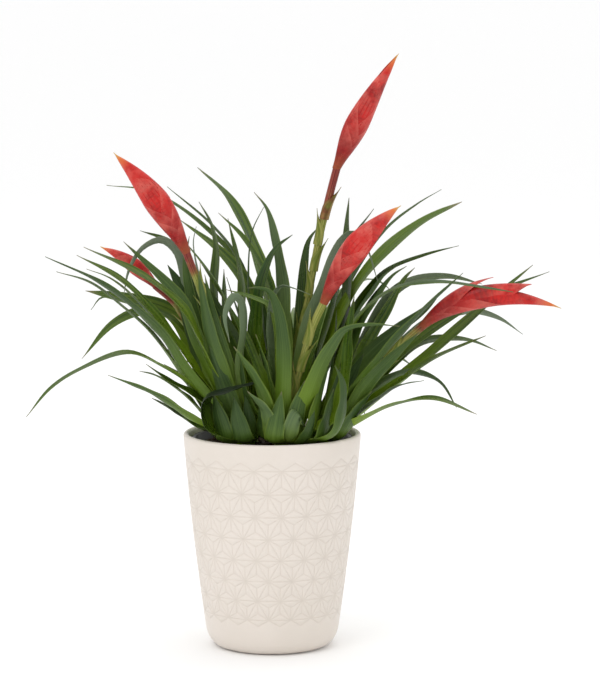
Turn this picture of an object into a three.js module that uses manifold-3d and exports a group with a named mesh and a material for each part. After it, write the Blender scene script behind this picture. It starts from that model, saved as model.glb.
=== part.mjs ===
// A flaming sword bromeliad in a ceramic cover pot: five flowering rosettes in a grower's pot of
// soil, each with its leaves, its flower stem and its two-ranked head of red bracts.
//
// Millimetres, +Z up. The origin is under the middle of the cover pot's foot, the front is -Y.
import * as THREE from "three";
import { mergeVertices } from "three/addons/utils/BufferGeometryUtils.js";
import Module from "manifold-3d";

const wasm = await Module();
wasm.setup();

// ---- Driving dimensions -------------------------------------------------------------------

const COVER_POT = {
  height: 158,
  rimRadius: 65,
  waistRadius: 49, // where the wall meets the rounded foot
  waistHeight: 15,
  footRadius: 37,
  wall: 4,
  floor: 6,
  bow: 1.2, // how far the wall swells outside a straight taper
  lip: 2, // radius of the rounded lip
  sides: 44,
};
const GROWER_POT = {
  height: 148,
  rimRadius: 57.5,
  footRadius: 40,
  wall: 1.6,
  rimBand: 7, // height of the thicker band at the top
  rimProud: 1.6,
  drainHoles: 5,
  drainRadius: 4,
  drainCircle: 26,
  sides: 36,
};
const SOIL = { drop: 6, dome: 5 };
const SEAT = 0.3; // clearance between a piece and what carries it

// A rosette's crown is the short stem that all its leaves spring from.
const CROWN = { depth: 16, rise: 30, radius: 10.5, topRadius: 13.5, sides: 8 };
const STEM = {
  radius: 2.3,
  topRadius: 2.6,
  sides: 6,
  steps: 7,
  rootHeight: 14, // how far up the crown its foot is
};
const STEM_BRACT = {
  spacing: 32,
  lowest: 0.32, // where on the stem the lowest one springs
  highest: 0.94,
  length: 15,
  lean: 5, // how far its tip stands off
  width: 5.4,
  thickness: 1.6,
  steps: 2,
};
const BLADE = {
  thickness: 1.5,
  tipThickness: 0.9,
  rootRadius: 6,
  sheath: 0.5, // extra width of the sheath at the blade's foot
  sheathEnd: 0.25,
  taperStart: 0.25,
  taper: 2.6, // how long most blades keep their width
  channel: 0.3, // lift of the edges over the rib at the foot, as a share of the width
  flatChannel: 0.13,
};
const BRACT = {
  count: 7,
  rings: 4,
  firstEnd: 0.3, // where on the head the tip of the lowest bract is
  reach: 0.5, // length of a bract, as a share of the head's
  depth: 0.62, // a head's thickness, as a share of its width
  foot: 0.27, // a head's width where it starts, as a share of the greatest
};

// Leaves, stems and heads are set out on a front view: a point is how far it is across from the
// pot's axis, how far up, and how deep behind the axis, as seen from this place.
const VIEW = { distance: 2370, height: 525, across: 20 };

/**
 * A leaf: its width, its roll in degrees, which lifts the edge that is on the left looking out
 * from the crown, and its points from above the crown to its tip.
 */
const leaf = (width, roll, ...points) => ({ width, roll, points, taper: BLADE.taper });

/** A leaf that keeps its width for longer than most, to a blunter tip, or loses it sooner. */
const tapered = (taper, plan) => ({ ...plan, taper });

// Each rosette: where its crown stands in the soil, its flower stem and head, and its leaves.
const ROSETTES = {
  centre_back: {
    crown: [13, 27],
    stem: [[17, 215, 24], [26, 255, 20], [34, 299, 18], [43, 336, 16], [47.5, 353, 16]],
    head: {
      points: [[47.5, 353, 16], [67.5, 394.5, 14], [91.5, 434.5, 12]],
      width: 19, peak: 0.38, facing: 35,
    },
    leaves: [
      leaf(6, -5, [-18, 271, 50], [-47, 307, 58], [-87, 334, 67], [-120, 339, 74]),
      leaf(7, -5, [-17, 262, 40], [-25, 285, 46], [-43, 309, 52], [-76, 338, 60]),
      leaf(14, -30, [-17, 262, 34], [-36, 289, 40], [-67, 314, 46]),
      tapered(4, leaf(15, 0, [-3, 255, 40], [-13, 292, 53], [-31, 329, 67], [-54, 352, 78])),
      leaf(14, 5, [8, 226, 14], [7, 266, 10], [2, 299, 7], [-4, 322, 5], [-13, 334, 4]),
      leaf(11, -15, [-1, 262, 30], [-7, 278, 29], [-21, 301, 27], [-39, 319, 26]),
      leaf(12, 5, [21, 226, 31], [24, 284, 40], [27, 299, 43], [34, 309, 46]),
      tapered(6, leaf(9, 15, [22, 222, 11], [28, 244, 11], [37, 265, 10], [46, 288, 8],
        [53, 300, 6], [60, 304, 5], [67, 297, 1], [77, 269, -6])),
      tapered(4, leaf(16, 20, [52, 233, 28], [56, 262, 33], [55, 305, 41], [56, 330, 44])),
      tapered(4, leaf(10, 0, [48, 262, 34], [57, 296, 42], [74, 322, 50])),
      tapered(6, leaf(13, 20, [50, 244, 30], [65, 270, 32], [82, 290, 34], [109, 312, 37],
        [138, 327, 40])),
      tapered(1.6, leaf(8, 0, [53, 262, 50], [82, 306, 61], [105, 325, 68], [123, 336, 72])),
      leaf(5, 0, [-16, 250, 12], [-17, 288, 10], [-14, 307, 9], [-6, 323, 6]),
      leaf(13, 0, [-6, 190, 16], [-13, 232, 16]),
      leaf(13, 0, [-2, 218, 8], [-8, 264, 3]),
      leaf(13, -20, [-12, 206, 14], [-33, 272, 4]),
      leaf(13, 0, [10, 228, 42], [6, 277, 50]),
      leaf(13, 0, [28, 215, 34], [40, 264, 40]),
      leaf(11, 20, [35, 204, 19], [50, 238, 15]),
    ],
    backLeaves: { from: 58, to: 122, count: 8, reach: 150, rise: 78 },
  },
  centre_front: {
    crown: [10, -25],
    stem: [[12, 176, -28], [16, 187, -30], [24, 218, -36], [31, 239, -40], [38.5, 255, -43]],
    head: {
      points: [[38.5, 255, -43], [60, 292, -48], [93.5, 324.5, -52]],
      width: 19, peak: 0.53, facing: -20,
    },
    leaves: [
      leaf(12, 0, [7, 170, -42], [8, 218, -50], [4, 248, -56], [-2, 261, -58], [-10, 264, -60],
        [-18, 264, -62]),
      leaf(8, -15, [4, 222, -26], [2, 241, -26], [-2, 251, -26], [-14, 257, -26], [-34, 263, -26]),
      leaf(11, 0, [-1, 152, -46], [-5, 173, -57], [-18, 188, -70]),
      tapered(6, leaf(12, 0, [12, 152, -50], [16, 166, -57], [19, 171, -55], [24, 162, -46])),
      leaf(11, 0, [23, 151, -48], [31, 174, -56]),
      tapered(1.3, leaf(14, -20, [23, 172, -43], [36, 207, -60], [45, 223, -68], [53, 233, -74],
        [72, 237, -85], [93, 236, -94])),
      tapered(4, leaf(14, 45, [46, 167, -34], [52, 186, -35], [55, 203, -35], [57, 232, -34],
        [60, 258, -28])),
      leaf(12, 0, [45, 155, -52], [52, 176, -60], [52, 194, -68], [46, 207, -74]),
      leaf(11, 0, [-1, 170, -46], [-13, 198, -54], [-28, 221, -58]),
      leaf(13, -20, [-7, 193, -24], [-18, 223, -20], [-32, 253, -15]),
      leaf(9, -20, [-2, 237, -27], [0, 258, -31], [7, 266, -33], [16, 264, -35], [28, 259, -38]),
      leaf(11, 20, [23, 202, -24], [31, 228, -24], [41, 255, -24]),
      leaf(12, 10, [-18, 180, -35], [-22, 195, -35], [-23, 218, -40]),
      leaf(13, 10, [-6, 154, -40], [-7, 166, -44], [-9, 180, -46]),
      leaf(13, 10, [29, 158, -44], [33, 174, -44], [38, 196, -40], [43, 222, -36]),
      leaf(15, 0, [1, 151, -53], [3, 166, -57], [7, 188, -53]),
      leaf(15, 0, [15, 152, -48], [18, 170, -50], [24, 196, -46]),
      leaf(15, 0, [35, 152, -44], [41, 168, -46], [45, 190, -42]),
      leaf(11, 0, [-1, 190, -33], [-12, 230, -37]),
      leaf(11, 10, [27, 180, -18], [42, 212, -14]),
    ],
  },
  left_front: {
    crown: [-18, -14],
    stem: [[-30, 200, -20], [-42, 236, -24], [-52, 263, -28], [-60, 284, -30], [-63, 292, -31]],
    head: {
      points: [[-63, 292, -31], [-85, 329, -35], [-115, 362.5, -40]],
      width: 18.5, peak: 0.48, facing: 12,
    },
    leaves: [
      leaf(11, 30, [-39, 193, -34], [-55, 227, -30], [-64, 252, -27], [-73, 264, -25],
        [-108, 298, -20]),
      leaf(15, -45, [-55, 228, -38], [-65, 248, -44], [-93, 272, -54], [-137, 294, -68]),
      leaf(12, -40, [-58, 206, -34], [-84, 243, -56], [-110, 270, -72], [-142, 288, -90]),
      leaf(12, 12, [-64, 203, -44], [-81, 230, -62], [-121, 265, -90], [-165, 287, -118]),
      leaf(10, 0, [-56, 189, -28], [-80, 206, -40], [-105, 216, -53], [-140, 204, -70],
        [-162, 190, -81], [-180, 169, -92]),
      leaf(11, -25, [-56, 184, -30], [-76, 196, -34], [-92, 208, -38]),
      leaf(9, 25, [-55, 165, -32], [-85, 185, -42], [-120, 200, -52]),
      leaf(12, 0, [-35, 196, -36], [-46, 233, -42], [-54, 278, -47]),
      leaf(10, 0, [-33, 209, -30], [-42, 240, -34], [-49, 274, -38]),
      tapered(6, leaf(22, -72, [-34, 153, -34], [-45, 163, -42], [-51, 175, -48], [-47, 186, -53],
        [-36, 190, -53], [-22, 193, -49], [-9, 196, -44])),
      tapered(3, leaf(9, 0, [-23, 204, -27], [-20, 236, -32], [-22, 254, -37], [-27, 258, -41],
        [-34, 245, -48], [-31, 224, -54])),
      leaf(10, 0, [-15, 156, -34], [-20, 185, -42]),
      leaf(14, 20, [-11, 240, -10], [-7, 270, -8], [3, 293, -5], [15, 303, -4]),
      tapered(4, leaf(14, -40, [-24, 232, -8], [-40, 268, -11], [-58, 292, -15], [-68, 302, -17])),
      leaf(15, 15, [-23, 155, -30], [-30, 176, -35], [-46, 222, -40]),
      leaf(14, 20, [-19, 207, -12], [-31, 235, -9], [-45, 260, -6], [-54, 273, -4]),
      leaf(16, 10, [-33, 151, -41], [-38, 166, -45], [-43, 186, -45]),
      leaf(16, 0, [-21, 151, -47], [-25, 166, -51], [-28, 184, -51]),
      leaf(11, 0, [-17, 190, -12], [-13, 236, -8]),
      leaf(12, 0, [-8, 180, -9], [-3, 222, -3]),
      leaf(12, 0, [-30, 200, -6], [-38, 242, 0]),
      leaf(12, -20, [-52, 190, -24], [-80, 222, -28]),
    ],
  },
  left_back: {
    crown: [-33, 16],
    stem: [[-45, 205, 14], [-56, 228, 11], [-70, 252, 9], [-85, 266, 5]],
    head: {
      points: [[-85, 266, 5], [-104, 283, 0], [-125, 294, -3]],
      width: 11, peak: 0.45,
    },
    leaves: [
      leaf(10, -5, [-63, 279, 28], [-75, 298, 31], [-96, 306, 34]),
      leaf(9, 20, [-57, 240, 4], [-63, 272, -3], [-69, 291, -8], [-80, 299, -11], [-94, 293, -15],
        [-104, 277, -19], [-108, 259, -22]),
      leaf(11, -25, [-79, 229, -4], [-96, 252, -8], [-118, 271, -13], [-135, 278, -16]),
      leaf(11, -28, [-87, 229, -10], [-109, 250, -17], [-133, 268, -23], [-157, 276, -28]),
      tapered(3.5, leaf(14, -25, [-60, 235, 20], [-77, 248, 20], [-100, 255, 19], [-136, 262, 18])),
      leaf(8, 0, [-78, 229, 34], [-92, 245, 34], [-109, 255, 34], [-124, 257, 34], [-132, 248, 34]),
      leaf(10, -30, [-69, 240, 40], [-80, 248, 41], [-97, 247, 43], [-117, 237, 45],
        [-139, 212, 48]),
      leaf(11, -30, [-63, 184, -4], [-84, 199, -7], [-97, 203, -10]),
      leaf(12, -35, [-55, 162, -6], [-73, 174, -10], [-88, 183, -14]),
      leaf(14, 12, [-21, 248, 22], [-22, 275, 25], [-32, 315, 30]),
      leaf(14, 20, [-41, 262, 16], [-40, 295, 17], [-44, 312, 18], [-53, 327, 20]),
      leaf(12, 0, [-52, 270, 12], [-57, 297, 13], [-55, 309, 14]),
      tapered(4, leaf(15, 20, [-60, 244, 0], [-67, 265, -1], [-76, 281, -2])),
      leaf(10, 0, [-58, 251, -14], [-63, 283, -21], [-60, 302, -26]),
      leaf(12, -20, [-48, 200, 22], [-64, 240, 28]),
      leaf(13, 0, [-32, 215, 24], [-35, 278, 30]),
      leaf(12, -30, [-58, 188, 8], [-79, 208, 8]),
    ],
    backLeaves: { from: 78, to: 112, count: 6, reach: 105, rise: 54 },
  },
  right: {
    crown: [36, 2],
    stem: [[48, 172, 2], [64, 190, 0], [79, 206, -2], [93, 221, -4], [109, 235.5, -7]],
    head: {
      points: [[109, 235.5, -7], [151, 256.5, -12], [211, 249.5, -18]],
      width: 15, peak: 0.42, flare: 8,
    },
    leaves: [
      leaf(13, 12, [68, 223, 16], [84, 250, 18], [96, 271, 21], [104, 279, 24]),
      leaf(14, 35, [63, 239, 4], [77, 261, 4], [88, 274, 4], [98, 280, 4]),
      leaf(7, -25, [58, 246, 12], [70, 264, 13], [84, 278, 13], [112, 289, 14], [136, 295, 16]),
      tapered(3.5, leaf(13, -35, [56, 235, -6], [77, 258, -16], [95, 267, -22], [118, 270, -31],
        [150, 266, -45], [176, 261, -56])),
      leaf(10, 10, [84, 257, 24], [102, 270, 28], [128, 273, 33], [153, 267, 38]),
      leaf(13, 40, [57, 180, -20], [79, 212, -37], [108, 245, -56], [139, 275, -76]),
      leaf(11, 25, [58, 167, 6], [101, 203, 9], [155, 251, 12], [190, 281, 14]),
      tapered(1.8, leaf(10, 18, [75, 198, 12], [111, 230, 17], [159, 259, 22], [202, 276, 26])),
      leaf(10, 15, [100, 227, 24], [118, 240, 28], [144, 247, 32], [165, 242, 36], [183, 230, 40]),
      leaf(9, 15, [93, 213, 20], [112, 225, 25], [142, 226, 31], [164, 218, 36]),
      leaf(12, 32, [82, 185, -12], [115, 210, -28], [156, 229, -48]),
      leaf(10, -25, [64, 179, -2], [84, 196, -6], [101, 202, -8], [122, 195, -11], [135, 176, -14]),
      leaf(10, 20, [76, 181, -32], [93, 192, -44], [111, 196, -54]),
      leaf(14, 20, [60, 163, -24], [87, 177, -43], [118, 182, -64], [150, 171, -88]),
      leaf(11, 25, [64, 209, -4], [89, 232, -7], [112, 249, -10], [124, 262, -12]),
      leaf(12, -20, [55, 168, -26], [68, 191, -31], [88, 213, -37], [108, 232, -42]),
      leaf(13, 0, [39, 153, -24], [45, 176, -25], [50, 206, -24]),
      tapered(6, leaf(14, 15, [59, 242, 6], [70, 260, 8], [80, 273, 9], [91, 280, 10])),
      leaf(14, 5, [49, 153, -26], [60, 170, -32], [73, 188, -36]),
      leaf(13, 0, [42, 200, 4], [47, 248, 6]),
      leaf(12, 0, [32, 184, 7], [30, 228, 11]),
      leaf(12, 20, [50, 184, -8], [67, 216, -14]),
      leaf(12, 20, [60, 180, 12], [86, 208, 18]),
    ],
    backLeaves: { from: 40, to: 68, count: 5, reach: 90, rise: 48 },
  },
};

// ---- Solids -------------------------------------------------------------------------------

/** A closed geometry as a manifold solid. */
function solidOf(geometry) {
  const bare = geometry.index ? geometry.toNonIndexed() : geometry.clone();
  for (const name of Object.keys(bare.attributes)) if (name !== "position") bare.deleteAttribute(name);
  const merged = mergeVertices(bare, 1e-4);
  return new wasm.Manifold(
    new wasm.Mesh({
      numProp: 3,
      vertProperties: merged.attributes.position.array,
      triVerts: new Uint32Array(merged.index.array),
    }),
  );
}

/** A manifold solid as a geometry with flat faces. */
function geometryOf(solid) {
  const { vertProperties, triVerts } = solid.getMesh();
  const geometry = new THREE.BufferGeometry();
  geometry.setAttribute("position", new THREE.BufferAttribute(new Float32Array(vertProperties), 3));
  geometry.setIndex(new THREE.BufferAttribute(new Uint32Array(triVerts), 1));
  const flat = geometry.toNonIndexed();
  flat.computeVertexNormals();
  return flat;
}

/** All the solids joined in one. */
function joined(solids) {
  return solids.reduce((all, next) => all.add(next));
}

/** The largest single body of a solid, with any pocket inside it filled. */
function mainBody(solid) {
  return solid.decompose().reduce((a, b) => (a.volume() > b.volume() ? a : b));
}

/** A solid of revolution about the Z axis from a profile of [radius, height] points. */
function turned(profile, sides) {
  const points = profile.map(([radius, height]) => new THREE.Vector2(radius, height));
  return new THREE.LatheGeometry(points, sides).rotateX(Math.PI / 2);
}

/** Point p of the front view in the part's own frame. */
function place([across, up, depth]) {
  const reach = 1 + depth / VIEW.distance;
  const sideways = VIEW.across + (across - VIEW.across) * reach;
  return new THREE.Vector3(sideways, depth, up * reach - (VIEW.height * depth) / VIEW.distance);
}

/** Smooth curve through points: an even arch through three of them, or a spline through more. */
function curveThrough(points) {
  if (points.length > 3) return new THREE.CatmullRomCurve3(points, false, "centripetal");
  const [start, middle, end] = points;
  const control = middle.clone().multiplyScalar(2).addScaledVector(start, -0.5).addScaledVector(end, -0.5);
  return new THREE.QuadraticBezierCurve3(start, control, end);
}

/** Frames along a curve: point, tangent, side and face normal, with the side carried along. */
function framesAlong(curve, steps, startSide) {
  let side = startSide.clone();
  return Array.from({ length: steps + 1 }, (_, i) => {
    const share = i / steps;
    const tangent = curve.getTangentAt(share);
    side = side.clone().addScaledVector(tangent, -side.dot(tangent)).normalize();
    return { share, point: curve.getPointAt(share), tangent, side, face: tangent.clone().cross(side) };
  });
}

/**
 * A closed skin over rings of equal size, with a flat cap at the first ring and a point at the
 * end. Every ring is split alike, so that the two faces of a thin blade never cross.
 */
function skinned(rings, tip) {
  const size = rings[0].length;
  const points = [...rings.flat(), tip];
  const faces = [];
  for (let i = 1; i < size - 1; i++) faces.push([0, i + 1, i]);
  for (let ring = 0; ring < rings.length - 1; ring++)
    for (let i = 0; i < size; i++) {
      const next = (i + 1) % size;
      const [a, b] = [ring * size + i, ring * size + next];
      const [c, d] = [a + size, b + size];
      if (i < size / 2) faces.push([a, b, d], [a, d, c]);
      else faces.push([a, b, c], [b, d, c]);
    }
  const last = (rings.length - 1) * size;
  for (let i = 0; i < size; i++) faces.push([last + i, last + ((i + 1) % size), points.length - 1]);
  const geometry = new THREE.BufferGeometry().setFromPoints(points);
  geometry.setIndex(faces.flat());
  return geometry;
}

// ---- Pots and soil ------------------------------------------------------------------------

/** The ceramic cover pot: a tapered cup with a rounded foot and lip. */
function coverPot() {
  const { height, rimRadius, waistRadius, waistHeight, footRadius, wall, floor, bow, lip } = COVER_POT;
  const outside = new THREE.Path()
    .moveTo(footRadius, 0)
    .quadraticCurveTo(waistRadius - 2, 1.5, waistRadius, waistHeight)
    .quadraticCurveTo(
      (waistRadius + rimRadius) / 2 + 2 * bow,
      (waistHeight + height) / 2,
      rimRadius,
      height - lip,
    );
  const inside = new THREE.Path()
    .moveTo(rimRadius - wall, height - lip)
    .lineTo(waistRadius - wall + 1, waistHeight + 2)
    .quadraticCurveTo(waistRadius - wall, floor, footRadius, floor);
  const pairs = (path, divisions) => path.getPoints(divisions).map((p) => [p.x, p.y]);
  const profile = [
    [0, 0],
    ...pairs(outside, 3),
    [rimRadius - 0.5 * lip, height],
    [rimRadius - wall + 0.5 * lip, height],
    ...pairs(inside, 3),
    [0, floor],
  ];
  return turned(profile, COVER_POT.sides);
}

/** Radius of the grower's pot's inner wall at a height above its foot. */
function growerBore(height) {
  const { rimRadius, footRadius, wall } = GROWER_POT;
  return footRadius + ((rimRadius - footRadius) * height) / GROWER_POT.height - wall;
}

/** Height of the grower's pot's foot above the ground, on the cover pot's floor. */
const growerFoot = COVER_POT.floor + SEAT;

/** The thin black pot that the plant was grown in, with its banded rim and drain holes. */
function growerPot() {
  const { height, rimRadius, footRadius, wall, rimBand, rimProud, sides } = GROWER_POT;
  const bandFoot = footRadius + ((rimRadius - footRadius) * (height - rimBand)) / height;
  const cup = turned(
    [
      [0, 0],
      [footRadius - 3, 0],
      [footRadius, 3],
      [bandFoot, height - rimBand],
      [bandFoot + rimProud, height - rimBand],
      [rimRadius + rimProud, height],
      [rimRadius - wall, height],
      [growerBore(2 * wall), 2 * wall],
      [0, 2 * wall],
    ],
    sides,
  );
  let pot = solidOf(cup);
  for (let i = 0; i < GROWER_POT.drainHoles; i++) {
    const angle = (i * 2 * Math.PI) / GROWER_POT.drainHoles;
    const drill = new THREE.CylinderGeometry(GROWER_POT.drainRadius, GROWER_POT.drainRadius, 12, 8)
      .rotateX(Math.PI / 2)
      .translate(GROWER_POT.drainCircle * Math.cos(angle), GROWER_POT.drainCircle * Math.sin(angle), 0);
    pot = pot.subtract(solidOf(drill));
  }
  return geometryOf(pot).translate(0, 0, growerFoot);
}

const soilHeight = growerFoot + GROWER_POT.height - SOIL.drop; // at the pot's wall

/** Height of the soil's domed top at a distance from the pot's axis. */
function soilTop(distance) {
  const rim = growerBore(GROWER_POT.height - SOIL.drop);
  return soilHeight + SOIL.dome * (1 - (distance / rim) ** 2);
}

/** The growing medium, with a plain hole for each crown. */
function soil(crowns) {
  const bottom = growerFoot + 2 * GROWER_POT.wall + SEAT;
  const bottomRadius = growerBore(bottom - growerFoot) - SEAT;
  const topRadius = growerBore(soilHeight - growerFoot) - SEAT;
  const top = [1, 0.5, 0].map((share) => [topRadius * share, soilTop(topRadius * share)]);
  let bed = solidOf(turned([[0, bottom], [bottomRadius, bottom], ...top], GROWER_POT.sides));
  for (const crown of crowns) bed = bed.subtract(crown);
  return geometryOf(bed);
}

// ---- Plants -------------------------------------------------------------------------------

/** Where a rosette's crown meets the soil, and which way it leans. */
function crownAxis(rosette) {
  const [x, y] = rosette.crown;
  const foot = new THREE.Vector3(x, y, soilTop(Math.hypot(x, y)));
  const lean = place(rosette.stem[0]).sub(foot).normalize();
  return { foot, lean };
}

/** The crown: a short leaning stem, grown by a clearance for the hole that it stands in. */
function crownSolid(rosette, clearance = 0) {
  const { foot, lean } = crownAxis(rosette);
  const length = CROWN.depth + CROWN.rise;
  const body = new THREE.CylinderGeometry(
    CROWN.topRadius + clearance,
    CROWN.radius + clearance,
    length + 2 * clearance,
    CROWN.sides,
  );
  body.translate(0, length / 2 - CROWN.depth, 0);
  body.applyQuaternion(new THREE.Quaternion().setFromUnitVectors(new THREE.Vector3(0, 1, 0), lean));
  return solidOf(body.translate(foot.x, foot.y, foot.z));
}

/** Share of its full width that a blade has at a share of its length: a sheath, a strap, a point. */
function bladeTaper(share, taper) {
  const sheath = 1 + BLADE.sheath * Math.max(0, 1 - share / BLADE.sheathEnd);
  const past = Math.max(0, (share - BLADE.taperStart) / (1 - BLADE.taperStart));
  return sheath * (1 - past ** taper);
}

/** One channelled blade from its crown to its pointed tip. */
function blade(rosette, { points, width, roll, taper }) {
  const { foot, lean } = crownAxis(rosette);
  const path = points.map(place);
  const heading = path[0].clone().sub(foot);
  heading.addScaledVector(lean, -heading.dot(lean)).normalize();
  const root = foot.clone().addScaledVector(lean, 3).addScaledVector(heading, BLADE.rootRadius);
  const curve = curveThrough([root, ...path]);
  const steps = Math.max(3, points.length);
  const outward = heading.clone().setZ(0).normalize();
  const frames = framesAlong(curve, steps, new THREE.Vector3(0, 0, 1).cross(outward));
  const rings = frames.slice(0, -1).map(({ share, point, side, face }) => {
    const half = (width / 2) * bladeTaper(share, taper);
    const thick = THREE.MathUtils.lerp(BLADE.thickness, BLADE.tipThickness, share) / 2;
    const lift = half * 2 * THREE.MathUtils.lerp(BLADE.channel, BLADE.flatChannel, Math.min(1, 2 * share));
    const turn = THREE.MathUtils.degToRad(roll) * THREE.MathUtils.smoothstep(share, 0, 0.45);
    const across = side.clone().multiplyScalar(Math.cos(turn)).addScaledVector(face, Math.sin(turn));
    const upper = face.clone().multiplyScalar(Math.cos(turn)).addScaledVector(side, -Math.sin(turn));
    const at = (s, f) => point.clone().addScaledVector(across, s).addScaledVector(upper, f);
    return [at(half, lift), at(0, thick), at(-half, lift), at(0, -thick)];
  });
  return solidOf(skinned(rings, frames.at(-1).point));
}

/** An even-looking share between 0 and 1 that a seed always gives again. */
function seededShare(seed) {
  return Math.abs(Math.sin(seed) * 43758.5453) % 1;
}

/** Leaves that arch away behind a rosette, spread evenly with a seeded spread of reach. */
function backLeaves(rosette) {
  const { from, to, count, reach, rise } = rosette.backLeaves ?? { count: 0 };
  const [x, y] = rosette.crown;
  return Array.from({ length: count }, (_, i) => {
    const spread = seededShare((i + 1) * 12.9898 + x);
    const angle = THREE.MathUtils.degToRad(from + ((to - from) * (i + 0.5)) / count);
    const length = reach * (0.72 + 0.4 * spread);
    const height = rise * (0.75 + 0.5 * spread);
    const at = (out, up) => {
      const depth = y + length * out * Math.sin(angle);
      const level = soilHeight + up + (VIEW.height * depth) / VIEW.distance;
      const scale = 1 + depth / VIEW.distance;
      const across = VIEW.across + (x + length * out * Math.cos(angle) - VIEW.across) / scale;
      return [across, level / scale, depth];
    };
    return leaf(10 + 3 * spread, 0, at(0.5, height), at(1, height * (0.3 + 0.7 * spread)));
  });
}

/** A rosette's leaves, joined in its crown, with a hole down its middle for the flower stem. */
function rosetteLeaves(rosette) {
  const leaves = [...rosette.leaves, ...backLeaves(rosette)].map((leaf) => blade(rosette, leaf));
  const body = joined([crownSolid(rosette), ...leaves]);
  return mainBody(body.subtract(stemSolid(rosette, SEAT)));
}

/** The curve that a flower stem follows from inside its crown to its head. */
function stemCurve(rosette) {
  const { foot, lean } = crownAxis(rosette);
  const root = foot.clone().addScaledVector(lean, STEM.rootHeight);
  return new THREE.CatmullRomCurve3([root, ...rosette.stem.map(place)], false, "centripetal");
}

/** The bare flower stem, grown by a clearance for the hole that it stands in. */
function stemSolid(rosette, clearance = 0) {
  const curve = stemCurve(rosette);
  const frames = framesAlong(curve, STEM.steps, new THREE.Vector3(0, 1, 0));
  const ring = (point, side, face, radius) =>
    Array.from({ length: STEM.sides }, (_, i) => {
      const angle = (i * 2 * Math.PI) / STEM.sides;
      return point
        .clone()
        .addScaledVector(side, radius * Math.cos(angle))
        .addScaledVector(face, radius * Math.sin(angle));
    });
  const rings = frames.map(({ share, point, side, face, tangent }) => {
    const end = share === 0 ? -clearance : share === 1 ? clearance : 0;
    const radius = THREE.MathUtils.lerp(STEM.radius, STEM.topRadius, share) + clearance;
    return ring(point.clone().addScaledVector(tangent, end), side, face, radius);
  });
  const top = frames.at(-1);
  return solidOf(skinned(rings, top.point.clone().addScaledVector(top.tangent, clearance)));
}

/** The flower stem with the pointed bracts that clasp it in turn on either side. */
function flowerStem(rosette) {
  const curve = stemCurve(rosette);
  const { lowest, highest } = STEM_BRACT;
  const count = Math.max(3, Math.round(curve.getLength() / STEM_BRACT.spacing));
  const bracts = Array.from({ length: count }, (_, i) =>
    stemBract(curve, lowest + ((highest - lowest) * i) / count, i % 2 ? 1 : -1),
  );
  return mainBody(joined([stemSolid(rosette), ...bracts]));
}

/** A short pointed bract that leaves a stem at a share of its length, on one hand or the other. */
function stemBract(curve, share, hand) {
  const { length, lean, width, thickness, steps } = STEM_BRACT;
  const up = curve.getTangentAt(share);
  const away = new THREE.Vector3(0, 1, 0).cross(up).normalize().multiplyScalar(hand);
  const foot = curve.getPointAt(share);
  const at = (rise, out) => foot.clone().addScaledVector(up, rise).addScaledVector(away, out);
  const spine = curveThrough([at(0, STEM.topRadius * 0.4), at(length / 2, lean / 2), at(length, lean)]);
  const frames = framesAlong(spine, steps, up.clone().cross(away));
  const rings = frames.slice(0, -1).map(({ share: along, point, side, face }) => {
    const half = (width / 2) * (1 - along ** 2);
    const thick = (thickness / 2) * (1 - 0.5 * along);
    const edge = (s, f) => point.clone().addScaledVector(side, s).addScaledVector(face, f);
    return [edge(half, half * 0.35), edge(0, thick), edge(-half, half * 0.35), edge(0, -thick)];
  });
  return solidOf(skinned(rings, frames.at(-1).point));
}

/** Half width of a head at a share of its length, as a share of the greatest, which is at its peak. */
function headOutline(share, peak) {
  if (share >= peak) return 1 - ((share - peak) / (1 - peak)) ** 1.4;
  return BRACT.foot + (1 - BRACT.foot) * Math.sin((Math.PI / 2) * (share / peak)) ** 1.3;
}

/**
 * A head: keeled bracts in two ranks up a flattened axis, each starting inside the one below,
 * and one long bract at the tip.
 */
function flowerHead({ head }) {
  const curve = curveThrough(head.points.map(place));
  const turn = THREE.MathUtils.degToRad(head.facing ?? 0);
  const front = new THREE.Vector3(Math.sin(turn), -Math.cos(turn), 0);
  const base = (2 * SEAT) / curve.getLength();
  const bracts = Array.from({ length: BRACT.count }, (_, i) => {
    const end = 1 - (1 - BRACT.firstEnd) * (1 - i / (BRACT.count - 1)) ** 0.65;
    const start = Math.max(base, end - BRACT.reach);
    const flare = head.flare && (i === 3 || i === 5) ? head.flare : 0;
    return headBract(curve, front, head, { start, end, hand: i % 2 ? 1 : -1, flare });
  });
  return mainBody(joined(bracts));
}

/**
 * One boat-shaped bract of a head: keeled on its face, sharp at its edges and drawn to a point at
 * its outer edge. The topmost one is a closed beak.
 */
function headBract(curve, front, { width, peak }, { start, end, hand, flare }) {
  const ringAt = (share) => {
    const along = THREE.MathUtils.lerp(start, end, share);
    const tangent = curve.getTangentAt(along);
    const side = front.clone().cross(tangent).normalize().multiplyScalar(hand);
    const depth = tangent.clone().cross(side).normalize();
    const girth = (width / 2) * headOutline(along, peak);
    const outer = girth * (0.9 + 0.14 * share) + flare * share ** 2;
    const drawnIn = -girth * 0.8 * (1 - share) + (outer - girth * 0.2) * share ** 2;
    const inner = end < 1 ? drawnIn : -girth;
    const thick = girth * BRACT.depth * Math.sqrt(1 - 0.9 * share ** 2);
    const keel = (outer + inner) / 2;
    const at = (s, d) => curve.getPointAt(along).addScaledVector(side, s).addScaledVector(depth, d);
    return [at(outer, 0), at(keel, thick), at(inner, 0), at(keel, -thick)];
  };
  const rings = Array.from({ length: BRACT.rings }, (_, i) => ringAt(i / BRACT.rings));
  const tip = ringAt(1)[0];
  const made = solidOf(skinned(rings, tip));
  return made.volume() < 0 ? solidOf(skinned(rings.map((ring) => ring.slice().reverse()), tip)) : made;
}

// ---- Materials and assembly ---------------------------------------------------------------

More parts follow.
